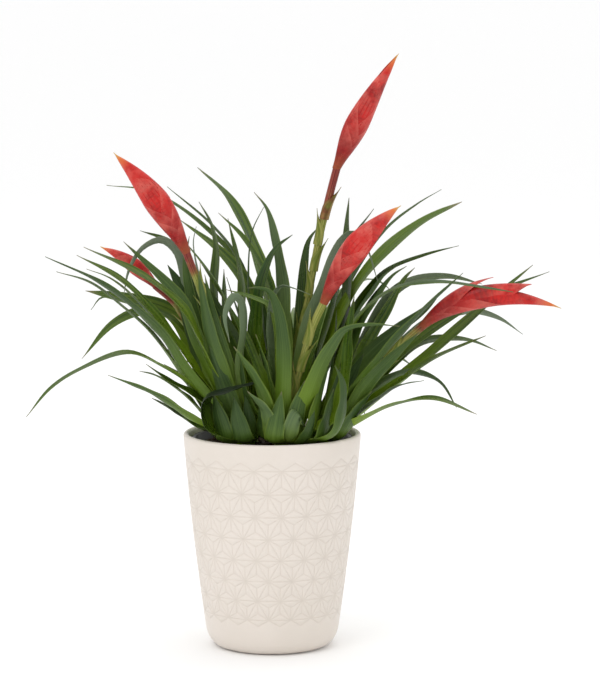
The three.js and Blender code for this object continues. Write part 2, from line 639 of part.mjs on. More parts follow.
const MATERIALS = {
  glaze: new THREE.MeshStandardMaterial({ color: 0xe6ddd0, roughness: 0.45, metalness: 0 }),
  blackPlastic: new THREE.MeshStandardMaterial({ color: 0x1d1e1d, roughness: 0.6, metalness: 0 }),
  soil: new THREE.MeshStandardMaterial({ color: 0x2b2018, roughness: 0.95, metalness: 0 }),
  leaf: new THREE.MeshStandardMaterial({ color: 0x3f6420, roughness: 0.4, metalness: 0 }),
  stem: new THREE.MeshStandardMaterial({ color: 0x93984f, roughness: 0.5, metalness: 0 }),
  bract: new THREE.MeshStandardMaterial({ color: 0xc9322f, roughness: 0.38, metalness: 0 }),
};

/** A named mesh. */
function piece(name, geometry, material) {
  const mesh = new THREE.Mesh(geometry, material);
  mesh.name = name;
  return mesh;
}

const bromeliad = new THREE.Group();
bromeliad.add(
  piece("cover_pot", coverPot(), MATERIALS.glaze),
  piece("grower_pot", growerPot(), MATERIALS.blackPlastic),
  piece("soil", soil(Object.values(ROSETTES).map((r) => crownSolid(r, SEAT))), MATERIALS.soil),
);
for (const [name, rosette] of Object.entries(ROSETTES)) {
  const plant = new THREE.Group();
  plant.add(
    piece(`${name}_leaves`, geometryOf(rosetteLeaves(rosette)), MATERIALS.leaf),
    piece(`${name}_flower_stem`, geometryOf(flowerStem(rosette)), MATERIALS.stem),
    piece(`${name}_flower_head`, geometryOf(flowerHead(rosette)), MATERIALS.bract),
  );
  bromeliad.add(plant);
}

export default bromeliad;
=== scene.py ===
"""Finish of a potted flaming sword bromeliad: five flowering rosettes and their cream cover pot.

Metres, +Z up, the front is -Y. Sizes are written in millimetres, times MM. Leaves, flower stems
and flower heads are set out in millimetres on a front view, as in the solids they stand for.
"""

import logging
import math
import random
from collections import Counter
from collections.abc import Callable, Iterator
from contextlib import contextmanager
from dataclasses import dataclass, field
from enum import Enum

import bpy
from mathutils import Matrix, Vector, noise


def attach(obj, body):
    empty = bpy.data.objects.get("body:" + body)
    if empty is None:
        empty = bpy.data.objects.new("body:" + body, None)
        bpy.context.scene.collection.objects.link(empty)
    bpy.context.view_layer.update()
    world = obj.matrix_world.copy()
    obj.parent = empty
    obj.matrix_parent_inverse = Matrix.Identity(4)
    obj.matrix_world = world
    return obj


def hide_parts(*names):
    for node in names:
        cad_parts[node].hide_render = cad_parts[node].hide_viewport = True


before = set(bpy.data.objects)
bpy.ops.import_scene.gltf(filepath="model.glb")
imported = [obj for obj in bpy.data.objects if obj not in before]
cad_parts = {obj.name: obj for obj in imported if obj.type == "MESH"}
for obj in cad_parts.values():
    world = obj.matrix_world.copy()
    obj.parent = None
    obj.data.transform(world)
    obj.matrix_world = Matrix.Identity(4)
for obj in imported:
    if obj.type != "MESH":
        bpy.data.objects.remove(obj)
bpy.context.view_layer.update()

LOG = logging.getLogger("bromeliad")
MM = 0.001
SEAT = 0.3 * MM  # clearance between a piece and what carries it
BODY = "root"

Colour = tuple[float, float, float, float]
Point = tuple[float, float, float]
Span = tuple[float, float]
Rings = list[Span]  # radius and height of each
Quantity = float | Vector
Placing = Callable[[float, float, float], Vector]
Socket = bpy.types.NodeSocket


class Slot(Enum):
    """Names of the material slots."""

    GLAZE = "glaze"
    PLASTIC = "black_plastic"
    SOIL = "soil"
    LEAF = "leaf"
    STEM = "flower_stem"
    BRACT = "bract"


# ---- Front view ---------------------------------------------------------------------------


@dataclass(frozen=True)
class FrontView:
    """The place that the plants are set out from, in millimetres."""

    distance: float = 2370
    height: float = 525
    across: float = 20

    def place(self, point: Point) -> Vector:
        """Turn a point of the front view into a place in the part's frame.

        Args:
            point: how far across, how far up and how far behind the pot's axis, in millimetres.

        Returns:
            The place in metres.
        """
        across, up, depth = point
        reach = 1 + depth / self.distance
        sideways = self.across + (across - self.across) * reach
        level = up * reach - self.height * depth / self.distance
        return MM * Vector((sideways, depth, level))

    def point(self, place: Vector) -> Point:
        """Turn a place in the part's frame, in metres, into a point of the front view.

        Args:
            place: the place in metres.

        Returns:
            The point in millimetres.
        """
        sideways, depth, level = place / MM
        reach = 1 + depth / self.distance
        across = self.across + (sideways - self.across) / reach
        return (across, (level + self.height * depth / self.distance) / reach, depth)


VIEW = FrontView()


# ---- Curves -------------------------------------------------------------------------------


@dataclass
class Station:
    """A cross-section's place on a curve: its point and its three directions."""

    share: float
    point: Vector
    tangent: Vector
    side: Vector
    face: Vector


class Midline:
    """A smooth curve through points, read by the share of its length."""

    STEPS = 40  # samples between two neighbouring points

    def __init__(self, points: list[Vector]) -> None:
        """Lay an even arch through three points, or a spline through more.

        Args:
            points: the points, in order.
        """
        self.samples = self._arch(points) if len(points) == 3 else self._spline(points)
        self.reach = [0.0]
        for before, after in zip(self.samples, self.samples[1:]):
            self.reach.append(self.reach[-1] + (after - before).length)
        self.length = self.reach[-1]

    def _arch(self, points: list[Vector]) -> list[Vector]:
        """Sample the even arch through three points.

        Args:
            points: the three points.

        Returns:
            The samples.
        """
        start, middle, end = points
        control = 2 * middle - (start + end) / 2
        steps = 2 * self.STEPS
        return [bend(start, control, end, i / steps) for i in range(steps + 1)]

    def _spline(self, points: list[Vector]) -> list[Vector]:
        """Sample a centripetal spline through the points.

        Args:
            points: four points or more.

        Returns:
            The samples.
        """
        ends = [2 * points[0] - points[1], *points, 2 * points[-1] - points[-2]]
        samples = []
        for a, b, c, d in zip(ends, ends[1:], ends[2:], ends[3:]):
            before, here, after = ((q - p).length ** 0.5 for p, q in ((a, b), (b, c), (c, d)))
            leaving = ((b - a) / before - (c - a) / (before + here) + (c - b) / here) * here
            arriving = ((c - b) / here - (d - b) / (here + after) + (d - c) / after) * here
            for i in range(self.STEPS):
                t = i / self.STEPS
                samples.append(
                    (2 * t**3 - 3 * t**2 + 1) * b
                    + (t**3 - 2 * t**2 + t) * leaving
                    + (3 * t**2 - 2 * t**3) * c
                    + (t**3 - t**2) * arriving
                )
        return [*samples, points[-1]]

    def point(self, share: float) -> Vector:
        """Find the point at a share of the curve's length.

        Args:
            share: 0 at the start and 1 at the end.

        Returns:
            The point.
        """
        goal = min(max(share, 0), 1) * self.length
        low, high = 0, len(self.reach) - 1
        while high - low > 1:
            middle = (low + high) // 2
            low, high = (middle, high) if self.reach[middle] <= goal else (low, middle)
        gap = self.reach[high] - self.reach[low]
        return self.samples[low].lerp(self.samples[high], (goal - self.reach[low]) / gap)

    def tangent(self, share: float) -> Vector:
        """Find the curve's direction at a share of its length.

        Args:
            share: 0 at the start and 1 at the end.

        Returns:
            The direction, of length 1.
        """
        near = 0.01
        return (self.point(min(share + near, 1)) - self.point(max(share - near, 0))).normalized()

    def stations(self, steps: int, side: Vector) -> list[Station]:
        """Cut the curve into cross-sections with their side direction carried along.

        Args:
            steps: how many equal lengths to cut the curve into.
            side: the side direction at the start.

        Returns:
            The cross-sections from start to end.
        """
        found = []
        for i in range(steps + 1):
            share = i / steps
            tangent = self.tangent(share)
            side = (side - tangent * side.dot(tangent)).normalized()
            found.append(Station(share, self.point(share), tangent, side, tangent.cross(side)))
        return found


def smooth_step(value: float, start: float, end: float) -> float:
    """Rise smoothly from 0 at start to 1 at end.

    Args:
        value: where to read the rise.
        start: where it leaves 0.
        end: where it reaches 1.

    Returns:
        The rise, from 0 to 1.
    """
    share = min(max((value - start) / (end - start), 0), 1)
    return share * share * (3 - 2 * share)


def blend(start: float, end: float, share: float) -> float:
    """Find the value that lies at a share of the way from start to end."""
    return start + (end - start) * share


def bend(start: Quantity, control: Quantity, end: Quantity, share: float) -> Quantity:
    """Find what lies at a share of the way along a bend that first heads for its control."""
    return (1 - share) ** 2 * start + 2 * share * (1 - share) * control + share * share * end


# ---- Meshes -------------------------------------------------------------------------------


def activate(*pieces: bpy.types.Object) -> None:
    """Make the pieces the only selected objects, and the first one active."""
    bpy.ops.object.select_all(action="DESELECT")
    for piece in pieces:
        piece.select_set(True)
    bpy.context.view_layer.objects.active = pieces[0]


def added(primitive: Callable, name: str, **settings: object) -> bpy.types.Object:
    """Add a primitive under a name.

    Args:
        primitive: the operator that adds it.
        name: the name of the piece.
        settings: the operator's settings.

    Returns:
        The piece, with its place set in its mesh.
    """
    bpy.ops.object.select_all(action="DESELECT")
    primitive(**settings)
    piece = bpy.context.active_object
    piece.name = piece.data.name = name
    bpy.ops.object.transform_apply(location=True, rotation=True, scale=True)
    return piece


@contextmanager
def editing(piece: bpy.types.Object, choice: str = "SELECT") -> Iterator[None]:
    """Be in edit mode on a piece.

    Args:
        piece: the piece, in object mode.
        choice: whether to SELECT or DESELECT everything first.

    Yields:
        Nothing; the piece is back in object mode at the end.
    """
    activate(piece)
    bpy.ops.object.mode_set(mode="EDIT")
    bpy.ops.mesh.select_all(action=choice)
    yield
    bpy.ops.object.mode_set(mode="OBJECT")


def disc(name: str, sides: int, radius: float, height: float) -> bpy.types.Object:
    """Add a level disc round the axis, split to its middle.

    Args:
        name: its name.
        sides: how many sides it has.
        radius: its radius.
        height: its height above the ground.

    Returns:
        The disc.
    """
    form = {"vertices": sides, "radius": radius, "fill_type": "TRIFAN"}
    return added(bpy.ops.mesh.primitive_circle_add, name, location=(0, 0, height), **form)


def outer_points(piece: bpy.types.Object, radius: float) -> set[int]:
    """Find the points that lie further from the axis than a radius."""
    return {v.index for v in piece.data.vertices if v.co.xy.length > radius}


def select_points(piece: bpy.types.Object, wanted: set[int]) -> None:
    """Select only the wanted points of a piece and what lies between them.

    Args:
        piece: the piece, in object mode.
        wanted: the indices of its points.
    """
    with editing(piece, "DESELECT"):
        bpy.ops.mesh.select_mode(type="VERT")
    for vertex in piece.data.vertices:
        vertex.select = vertex.index in wanted


def carry_loop(profile: Rings) -> None:
    """Extrude the selected loop of the active piece, ring by ring, along a profile.

    Args:
        profile: radius and height of each ring, from the selected one; a last radius of 0
            closes the shape on the axis.
    """
    bpy.ops.object.mode_set(mode="EDIT")
    for (radius, height), (next_radius, next_height) in zip(profile, profile[1:]):
        rise = {"value": (0, 0, next_height - height)}
        bpy.ops.mesh.extrude_region_move(TRANSFORM_OT_translate=rise)
        if next_radius == 0:
            bpy.ops.mesh.merge(type="CENTER")
            continue
        scale = next_radius / radius
        bpy.ops.transform.resize(value=(scale, scale, 1), center_override=(0, 0, next_height))
    bpy.ops.object.mode_set(mode="OBJECT")


def to_axis(radius: float, height: float) -> Rings:
    """Work out the rings that close a flat face of a radius, down to the axis."""
    return [(radius * share, height) for share in (0.6, 0.25, 0)]


def face_outwards(piece: bpy.types.Object, smooth_angle: float) -> None:
    """Merge doubles, turn every face outwards and smooth all but the sharp edges.

    Args:
        piece: the piece, in object mode.
        smooth_angle: edges under this angle are shaded smooth, in degrees.
    """
    with editing(piece):
        bpy.ops.mesh.remove_doubles(threshold=0.001 * MM)
        bpy.ops.mesh.normals_make_consistent(inside=False)
    bpy.ops.object.shade_smooth_by_angle(angle=math.radians(smooth_angle))


def add_modifier(piece: bpy.types.Object, kind: str, **settings: object) -> None:
    """Give a piece a modifier and apply it.

    Args:
        piece: the piece, in object mode.
        kind: the modifier's type.
        settings: its settings by name.
    """
    activate(piece)
    modifier = piece.modifiers.new(kind.title(), kind)
    for name, value in settings.items():
        setattr(modifier, name, value)
    bpy.ops.object.modifier_apply(modifier=modifier.name)


def cut_away(piece: bpy.types.Object, cutter: bpy.types.Object) -> None:
    """Cut a closed shape out of a piece, and remove that shape."""
    add_modifier(piece, "BOOLEAN", object=cutter, operation="DIFFERENCE", solver="EXACT")
    bpy.data.objects.remove(cutter)


def joined(pieces: list[bpy.types.Object], name: str) -> bpy.types.Object:
    """Join pieces in one.

    Args:
        pieces: the pieces; the first one takes the others in.
        name: the name of the whole.

    Returns:
        The joined piece.
    """
    activate(*pieces)
    bpy.ops.object.join()
    pieces[0].name = pieces[0].data.name = name
    return pieces[0]


def paint(piece: bpy.types.Object, name: str, values: list[float]) -> None:
    """Give each point of a piece a value that its finish reads.

    Args:
        piece: the piece.
        name: the attribute's name.
        values: one value for each vertex.
    """
    piece.data.attributes.new(name, "FLOAT", "POINT").data.foreach_set("value", values)


def paint_grain(piece: bpy.types.Object, places: list[Point]) -> None:
    """Give each point of a piece the place in its grain that the finish's veins follow.

    Args:
        piece: the piece.
        places: for each vertex, two coordinates across the grain and one along it.
    """
    held = piece.data.attributes.new("grain", "FLOAT_VECTOR", "POINT")
    held.data.foreach_set("vector", [value for place in places for value in place])


@dataclass(frozen=True)
class SheetPattern:
    """A thin flat sheet, modelled once, that every leaf or bract is a shaped copy of.

    It reaches from -1 to 1 across, from 0 to 1 along and from -0.5 to 0.5 through.
    """

    columns: int
    rows: int

    def build(self, name: str) -> bpy.types.Object:
        """Model the sheet.

        Args:
            name: its name.

        Returns:
            The sheet.
        """
        counts = {"x_subdivisions": self.columns, "y_subdivisions": self.rows}
        sheet = added(bpy.ops.mesh.primitive_grid_add, name, size=2, calc_uvs=False, **counts)
        with editing(sheet):
            bpy.ops.transform.resize(value=(1, 0.5, 1), center_override=(0, 0, 0))
            bpy.ops.transform.translate(value=(0, 0.5, 0))
        add_modifier(sheet, "SOLIDIFY", thickness=1, offset=0)
        return sheet


def shaped_copy(pattern: bpy.types.Object, name: str, placing: Placing) -> bpy.types.Object:
    """Copy a pattern with its own mesh, and place each of its points.

    Args:
        pattern: the pattern.
        name: the copy's name.
        placing: gives the place for a point of the pattern.

    Returns:
        The copy.
    """
    copy = bpy.data.objects.new(name, pattern.data.copy())
    bpy.context.scene.collection.objects.link(copy)
    places = [placing(*vertex.co) for vertex in pattern.data.vertices]
    copy.data.vertices.foreach_set("co", [value for place in places for value in place])
    copy.data.update()
    return copy


# ---- Finishes -----------------------------------------------------------------------------


def tone(red: int, green: int, blue: int) -> Colour:
    """Turn a colour as a screen shows it into a linear one.

    Args:
        red: its red, 0 to 255.
        green: its green, 0 to 255.
        blue: its blue, 0 to 255.

    Returns:
        The linear colour with full alpha.
    """
    shares = (value / 255 for value in (red, green, blue))
    linear = (s / 12.92 if s <= 0.04045 else ((s + 0.055) / 1.055) ** 2.4 for s in shares)
    return (*linear, 1.0)


class NodeDesk:
    """Adds the nodes of one tree and links them."""

    def __init__(self, tree: bpy.types.NodeTree) -> None:
        """Start on a tree."""
        self.tree = tree

    def feed(self, node: bpy.types.Node, name: str | int, value: object) -> None:
        """Link a socket to an input of a node, or set the input to a value."""
        if isinstance(value, Socket):
            self.tree.links.new(value, node.inputs[name])
        else:
            node.inputs[name].default_value = value

    def add(self, kind: str, inputs: dict | None = None, **settings: object) -> bpy.types.Node:
        """Add a node.

        Args:
            kind: its type.
            inputs: value or linked socket for each named or numbered input.
            settings: its own settings by name.

        Returns:
            The node.
        """
        node = self.tree.nodes.new(kind)
        for name, value in settings.items():
            setattr(node, name, value)
        for name, value in (inputs or {}).items():
            self.feed(node, name, value)
        return node

    def read(self, name: str) -> Socket:
        """Read a value that is painted on the mesh."""
        return self.add("ShaderNodeAttribute", attribute_name=name).outputs["Fac"]

    def grain(self) -> Socket:
        """Read the place in the grain that is painted on the mesh."""
        return self.add("ShaderNodeAttribute", attribute_name="grain").outputs["Vector"]

    def split(self, vector: Socket) -> tuple[Socket, ...]:
        """Split a vector into its three parts."""
        return tuple(self.add("ShaderNodeSeparateXYZ", {"Vector": vector}).outputs)

    def remap(self, value: Socket, source: Span, goal: Span = (0, 1)) -> Socket:
        """Map a value smoothly from one range to another.

        Args:
            value: the value.
            source: the range it is read in.
            goal: the range it is given out in.

        Returns:
            The mapped value.
        """
        names = ("Value", "From Min", "From Max", "To Min", "To Max")
        inputs = dict(zip(names, (value, *source, *goal)))
        node = self.add("ShaderNodeMapRange", inputs, interpolation_type="SMOOTHSTEP")
        return node.outputs["Result"]

    def math(self, operation: str, *values: object) -> Socket:
        """Work out a value from one, two or three others."""
        return self.add("ShaderNodeMath", dict(enumerate(values)), operation=operation).outputs[0]

    def times(self, first: object, second: object) -> Socket:
        """Multiply two values."""
        return self.math("MULTIPLY", first, second)

    def scaled(self, value: Socket, factor: float, start: object) -> Socket:
        """Multiply a value by a factor and add that to a start."""
        return self.math("MULTIPLY_ADD", value, factor, start)

    def mix(self, share: object, first: object, second: object) -> Socket:
        """Mix two colours.

        Args:
            share: how much of the second one, 0 to 1.
            first: the first colour.
            second: the second colour.

        Returns:
            The mixed colour.
        """
        colour_inputs = {0: share, 6: first, 7: second}  # a Mix node's colour sockets
        return self.add("ShaderNodeMix", colour_inputs, data_type="RGBA").outputs[2]

    def noise(self, place: Socket, scale: object, detail: float, roughness: float) -> Socket:
        """Read a noise.

        Args:
            place: where to read it.
            scale: how fine it is.
            detail: how many finer layers it has.
            roughness: how much those show.

        Returns:
            The noise, 0 to 1.
        """
        inputs = {"Vector": place, "Scale": scale, "Detail": detail, "Roughness": roughness}
        return self.add("ShaderNodeTexNoise", inputs).outputs[0]


class SharedEffects:
    """The node groups that more than one finish places, each built once."""

    def __init__(self) -> None:
        """Build the groups."""
        self.veins = self._veins()
        self.mottle = self._mottle()

    def _new_group(self, name: str, inputs: dict[str, str], outputs: list[str]) -> tuple:
        """Start a group with its sockets.

        Args:
            name: the group's name.
            inputs: the kind of each input by name.
            outputs: the names of its outputs, all of them values.

        Returns:
            A desk for the group, and its input and output nodes.
        """
        group = bpy.data.node_groups.new(name, "ShaderNodeTree")
        for label, kind in inputs.items():
            kind = f"NodeSocket{kind}"
            group.interface.new_socket(name=label, in_out="INPUT", socket_type=kind)
        for label in outputs:
            group.interface.new_socket(name=label, in_out="OUTPUT", socket_type="NodeSocketFloat")
        desk = NodeDesk(group)
        return desk, desk.add("NodeGroupInput"), desk.add("NodeGroupOutput")

    def _veins(self) -> bpy.types.NodeTree:
        """Build the lengthwise veins of leaves, stems and bracts.

        Returns:
            The group: it takes a place in the grain, how fine the veins are and a seed, and
            gives a mask and a height.
        """
        apart = 57.0  # how far apart in the noise two seeds lie
        kinds = {"Grain": "Vector", "Fineness": "Float", "Seed": "Float"}
        desk, given, out = self._new_group("lengthwise veins", kinds, ["Mask", "Height"])
        across, around, along = desk.split(given.outputs["Grain"])
        parts = {
            "X": desk.times(across, given.outputs["Fineness"]),
            "Y": desk.times(around, given.outputs["Fineness"]),
            "Z": desk.scaled(given.outputs["Seed"], apart, along),
        }
        place = desk.add("ShaderNodeCombineXYZ", parts).outputs[0]
        streaks = desk.noise(place, 1.0, detail=2.0, roughness=0.55)
        desk.feed(out, "Mask", desk.remap(streaks, (0.36, 0.64)))
        desk.feed(out, "Height", streaks)
        return desk.tree

    def _mottle(self) -> bpy.types.NodeTree:
        """Build the cloudy unevenness of natural and fired surfaces.

        Returns:
            The group: it takes a place and a scale, and gives a mask.
        """
        kinds = {"Place": "Vector", "Scale": "Float"}
        desk, given, out = self._new_group("mottling", kinds, ["Mask"])
        place, scale = given.outputs["Place"], given.outputs["Scale"]
        cloud = desk.noise(place, scale, detail=4.0, roughness=0.6)
        desk.feed(out, "Mask", desk.remap(cloud, (0.3, 0.7)))
        return desk.tree


class Finish:
    """A material whose surface is worked out by nodes."""

    NAME = "plain"

    def __init__(self, effects: SharedEffects) -> None:
        """Start the material and lay its nodes.

        Args:
            effects: the shared node groups.
        """
        self.material = bpy.data.materials.new(self.NAME)
        self.material.use_nodes = True
        self.desk = NodeDesk(self.material.node_tree)
        self.shader = self.material.node_tree.nodes["Principled BSDF"]
        self.effects = effects
        self.lay()

    def lay(self) -> None:
        """Lay the nodes: every kind of finish has its own."""
        raise NotImplementedError

    def feed(self, name: str, value: object) -> None:
        """Set or link one of the shader's sockets."""
        self.desk.feed(self.shader, name, value)

    def veins(self, grain: Socket, fineness: float, seed: object) -> bpy.types.Node:
        """Place the lengthwise veins."""
        given = {"Grain": grain, "Fineness": fineness, "Seed": seed}
        return self.desk.add("ShaderNodeGroup", given, node_tree=self.effects.veins)

    def mottle(self, scale: float) -> Socket:
        """Read the cloudy mask, on the object's own coordinates.

        Args:
            scale: how fine the clouds are.

        Returns:
            The mask.
        """
        given = {"Place": self.desk.add("ShaderNodeTexCoord").outputs["Object"], "Scale": scale}
        group = self.desk.add("ShaderNodeGroup", given, node_tree=self.effects.mottle)
        return group.outputs["Mask"]

    def bump(self, height: Socket, strength: float, depth: float) -> None:
        """Raise the surface's fine relief.

        Args:
            height: its height, 0 to 1.
            strength: how strongly it shows, 0 to 1.
            depth: how deep it is, in metres.
        """
        inputs = {"Height": height, "Strength": strength, "Distance": depth}
        self.feed("Normal", self.desk.add("ShaderNodeBump", inputs).outputs["Normal"])


class LeafFinish(Finish):
    """Glossy green blades: yellow-green foot, greyer underside, withered tip, painted highlights on
    edges and rib.
    """

    NAME = "bromeliad leaf"
    DEEP = tone(15, 35, 5)
    FRESH = tone(52, 86, 14)
    STRIPE = tone(104, 124, 40)
    SHEATH = tone(122, 152, 26)
    DULL = tone(44, 70, 22)
    PALE = tone(82, 106, 48)
    WITHERED = tone(120, 112, 84)
    HOARY = tone(128, 140, 122)
    INKY = tone(8, 20, 10)

    def lay(self) -> None:
        """Lay veins, stripes and painted highlights over green, then the leaf's own tint and bloom.
        """
        desk = self.desk
        grain = desk.grain()
        tint, under, bloom = (desk.read(name) for name in ("tint", "underside", "bloom"))
        across, _, along = desk.split(grain)
        veins = self.veins(grain, 11.0, tint)
        bands = self.veins(grain, 3.0, tint)
        stripes = desk.times(bands.outputs["Mask"], 0.45)
        clouds = self.mottle(55.0)
        foot = desk.remap(along, (0.7, 0.05))
        off_rib = desk.math("ABSOLUTE", across)
        rib = desk.remap(off_rib, (0.16, 0.0))
        # margin masks a painted highlight along the leaf's edges
        margin = desk.remap(off_rib, (0.8, 1.0), (0, 0.5))

        upper = desk.mix(veins.outputs["Mask"], self.DEEP, self.FRESH)
        upper = desk.mix(desk.times(clouds, 0.35), upper, self.FRESH)
        upper = desk.mix(stripes, upper, self.STRIPE)
        upper = desk.mix(desk.times(foot, 0.85), upper, self.SHEATH)
        lower = desk.mix(desk.times(veins.outputs["Mask"], 0.6), self.DULL, self.PALE)
        # painted highlight: the underside is made paler along its midrib
        lower = desk.mix(desk.times(rib, 0.35), lower, self.PALE)
        lower = desk.mix(desk.times(foot, 0.7), lower, self.SHEATH)
        # painted highlight: the edges are lightened towards the stripe colour
        colour = desk.mix(margin, desk.mix(under, upper, lower), self.STRIPE)
        tip = desk.times(desk.remap(along, (0.93, 1.0)), tint)
        own = {
            "Hue": desk.remap(tint, (0, 1), (0.508, 0.494)),
            "Value": desk.remap(tint, (0, 1), (0.7, 1.2)),
            "Color": desk.mix(tip, colour, self.WITHERED),
        }
        colour = desk.add("ShaderNodeHueSaturation", own).outputs["Color"]
        away = desk.math("SUBTRACT", 1.0, foot)
        hoary = desk.times(desk.remap(bloom, (0, 1), (0, 0.8)), away)
        colour = desk.mix(hoary, colour, self.HOARY)
        inky = desk.times(desk.remap(bloom, (0, -1), (0, 0.9)), away)
        self.feed("Base Color", desk.mix(inky, colour, self.INKY))
        sheen = desk.scaled(inky, -0.12, desk.scaled(under, 0.2, 0.25))
        self.feed("Roughness", desk.scaled(clouds, 0.1, sheen))
        self.feed("Specular IOR Level", 0.3)
        self.bump(veins.outputs["Height"], 0.5, 0.5 * MM)


class BractFinish(Finish):
    """Waxy scarlet bracts: rosy margins, orange and straw at the tip, olive at the foot; painted
    shade low on the head and at each bract's foot.
    """

    NAME = "bromeliad bract"
    SCARLET = tone(192, 30, 26)
    CRIMSON = tone(118, 8, 12)
    # the colour of the painted shade low on the head
    DARK = tone(88, 12, 14)
    ROSE = tone(212, 104, 92)
    AMBER = tone(214, 118, 56)
    STRAW = tone(196, 170, 96)
    OLIVE = tone(140, 96, 52)

    def lay(self) -> None:
        """Lay streaks of scarlet over crimson, painted shade low on the head and at each bract's
        foot, then the colours up the head.
        """
        desk = self.desk
        grain = desk.grain()
        climb = desk.read("climb")
        across, _, along = desk.split(grain)
        veins = self.veins(grain, 4.0, climb)
        clouds = self.mottle(40.0)
        # painted light and shade along each bract: crimson at its foot, where the bract below
        # overlaps it, paler rose towards its tip
        painted_tip_light = desk.times(self.mottle(90.0), desk.remap(along, (0.25, 0.85), (0, 0.75)))
        streaks = desk.times(veins.outputs["Mask"], 0.4)
        colour = desk.mix(desk.math("ADD", streaks, clouds), self.CRIMSON, self.SCARLET)
        # painted shade: the lower half of the head darkens towards its foot, in cloudy patches
        colour = desk.mix(desk.times(desk.remap(climb, (0.5, 0.1)), clouds), colour, self.DARK)
        colour = desk.mix(painted_tip_light, colour, self.ROSE)
        margin = desk.remap(desk.math("ABSOLUTE", across), (0.7, 1.0), (0, 0.16))
        colour = desk.mix(margin, colour, self.ROSE)
        for source, most, hue in (
            ((0.82, 0.97), 0.9, self.AMBER),
            ((0.92, 1.0), 0.9, self.STRAW),
            ((0.16, 0.0), 0.45, self.OLIVE),
        ):
            colour = desk.mix(desk.remap(climb, source, (0, most)), colour, hue)
        self.feed("Base Color", colour)
        self.feed("Roughness", desk.scaled(clouds, 0.12, 0.3))
        self.feed("Specular IOR Level", 0.25)
        self.bump(veins.outputs["Height"], 0.3, 0.4 * MM)


class StemFinish(Finish):
    """Flower stems that go from olive green at the foot to red under the head."""

    NAME = "bromeliad flower stem"
    GREEN = tone(104, 118, 40)
    PALE = tone(158, 156, 84)
    RED = tone(92, 20, 22)
    ROSE = tone(146, 66, 54)

    def lay(self) -> None:
        """Lay veins in green and in red, and an uneven change from one to the other."""
        desk = self.desk
        flush = desk.read("flush")
        veins = self.veins(desk.grain(), 3.0, 0.4)
        clouds = self.mottle(120.0)
        green = desk.mix(veins.outputs["Mask"], self.GREEN, self.PALE)
        red = desk.mix(veins.outputs["Mask"], self.RED, self.ROSE)
        uneven = desk.scaled(desk.math("SUBTRACT", clouds, 0.5), 0.35, flush)
        self.feed("Base Color", desk.mix(desk.remap(uneven, (0.1, 0.9)), green, red))
        self.feed("Roughness", desk.scaled(clouds, 0.12, 0.36))
        self.feed("Specular IOR Level", 0.25)
        self.bump(veins.outputs["Height"], 0.3, 0.4 * MM)


class GlazeFinish(Finish):
    """Satin cream glaze, with painted shade darkening it a little in the incised lines."""

    NAME = "cream glaze"
    CREAM = tone(222, 213, 204)
    WARM = tone(218, 209, 199)
    GROOVE_SHADE = tone(210, 200, 189)

    def lay(self) -> None:
        """Lay cloudy cream, painted shade in the lines and a fine speckle."""
        desk = self.desk
        clouds = self.mottle(14.0)
        colour = desk.mix(clouds, self.CREAM, self.WARM)
        # painted shade: a darker colour in the incised lines, following the groove depth
        colour = desk.mix(desk.times(desk.read("groove"), 0.7), colour, self.GROOVE_SHADE)
        self.feed("Base Color", colour)
        self.feed("Roughness", desk.scaled(clouds, 0.08, 0.4))
        self.bump(self.mottle(900.0), 0.12, 0.1 * MM)


class PlasticFinish(Finish):
    """Thin black moulded plastic with a dusty bloom."""

    NAME = "black plastic"
    BLACK = tone(26, 27, 27)
    DUST = tone(58, 54, 48)

    def lay(self) -> None:
        """Lay clouds of dust over black."""
        clouds = self.mottle(60.0)
        share = self.desk.times(clouds, 0.5)
        self.feed("Base Color", self.desk.mix(share, self.BLACK, self.DUST))
        self.feed("Roughness", self.desk.scaled(clouds, 0.2, 0.42))
        self.bump(self.mottle(1500.0), 0.2, 0.1 * MM)


class PeatFinish(Finish):
    """Moist dark peat with paler fibres."""

    NAME = "peat"
    DARK = tone(34, 25, 19)
    BROWN = tone(78, 57, 40)
    FIBRE = tone(128, 101, 70)

    def lay(self) -> None:
        """Lay mottled browns with flecks of fibre."""
        colour = self.desk.mix(self.mottle(260.0), self.DARK, self.BROWN)
        flecks = self.desk.remap(self.mottle(900.0), (0.72, 0.95), (0, 0.8))
        self.feed("Base Color", self.desk.mix(flecks, colour, self.FIBRE))
        self.feed("Roughness", 0.95)
        self.bump(self.mottle(700.0), 0.8, 0.8 * MM)


# ---- Pots and soil ------------------------------------------------------------------------


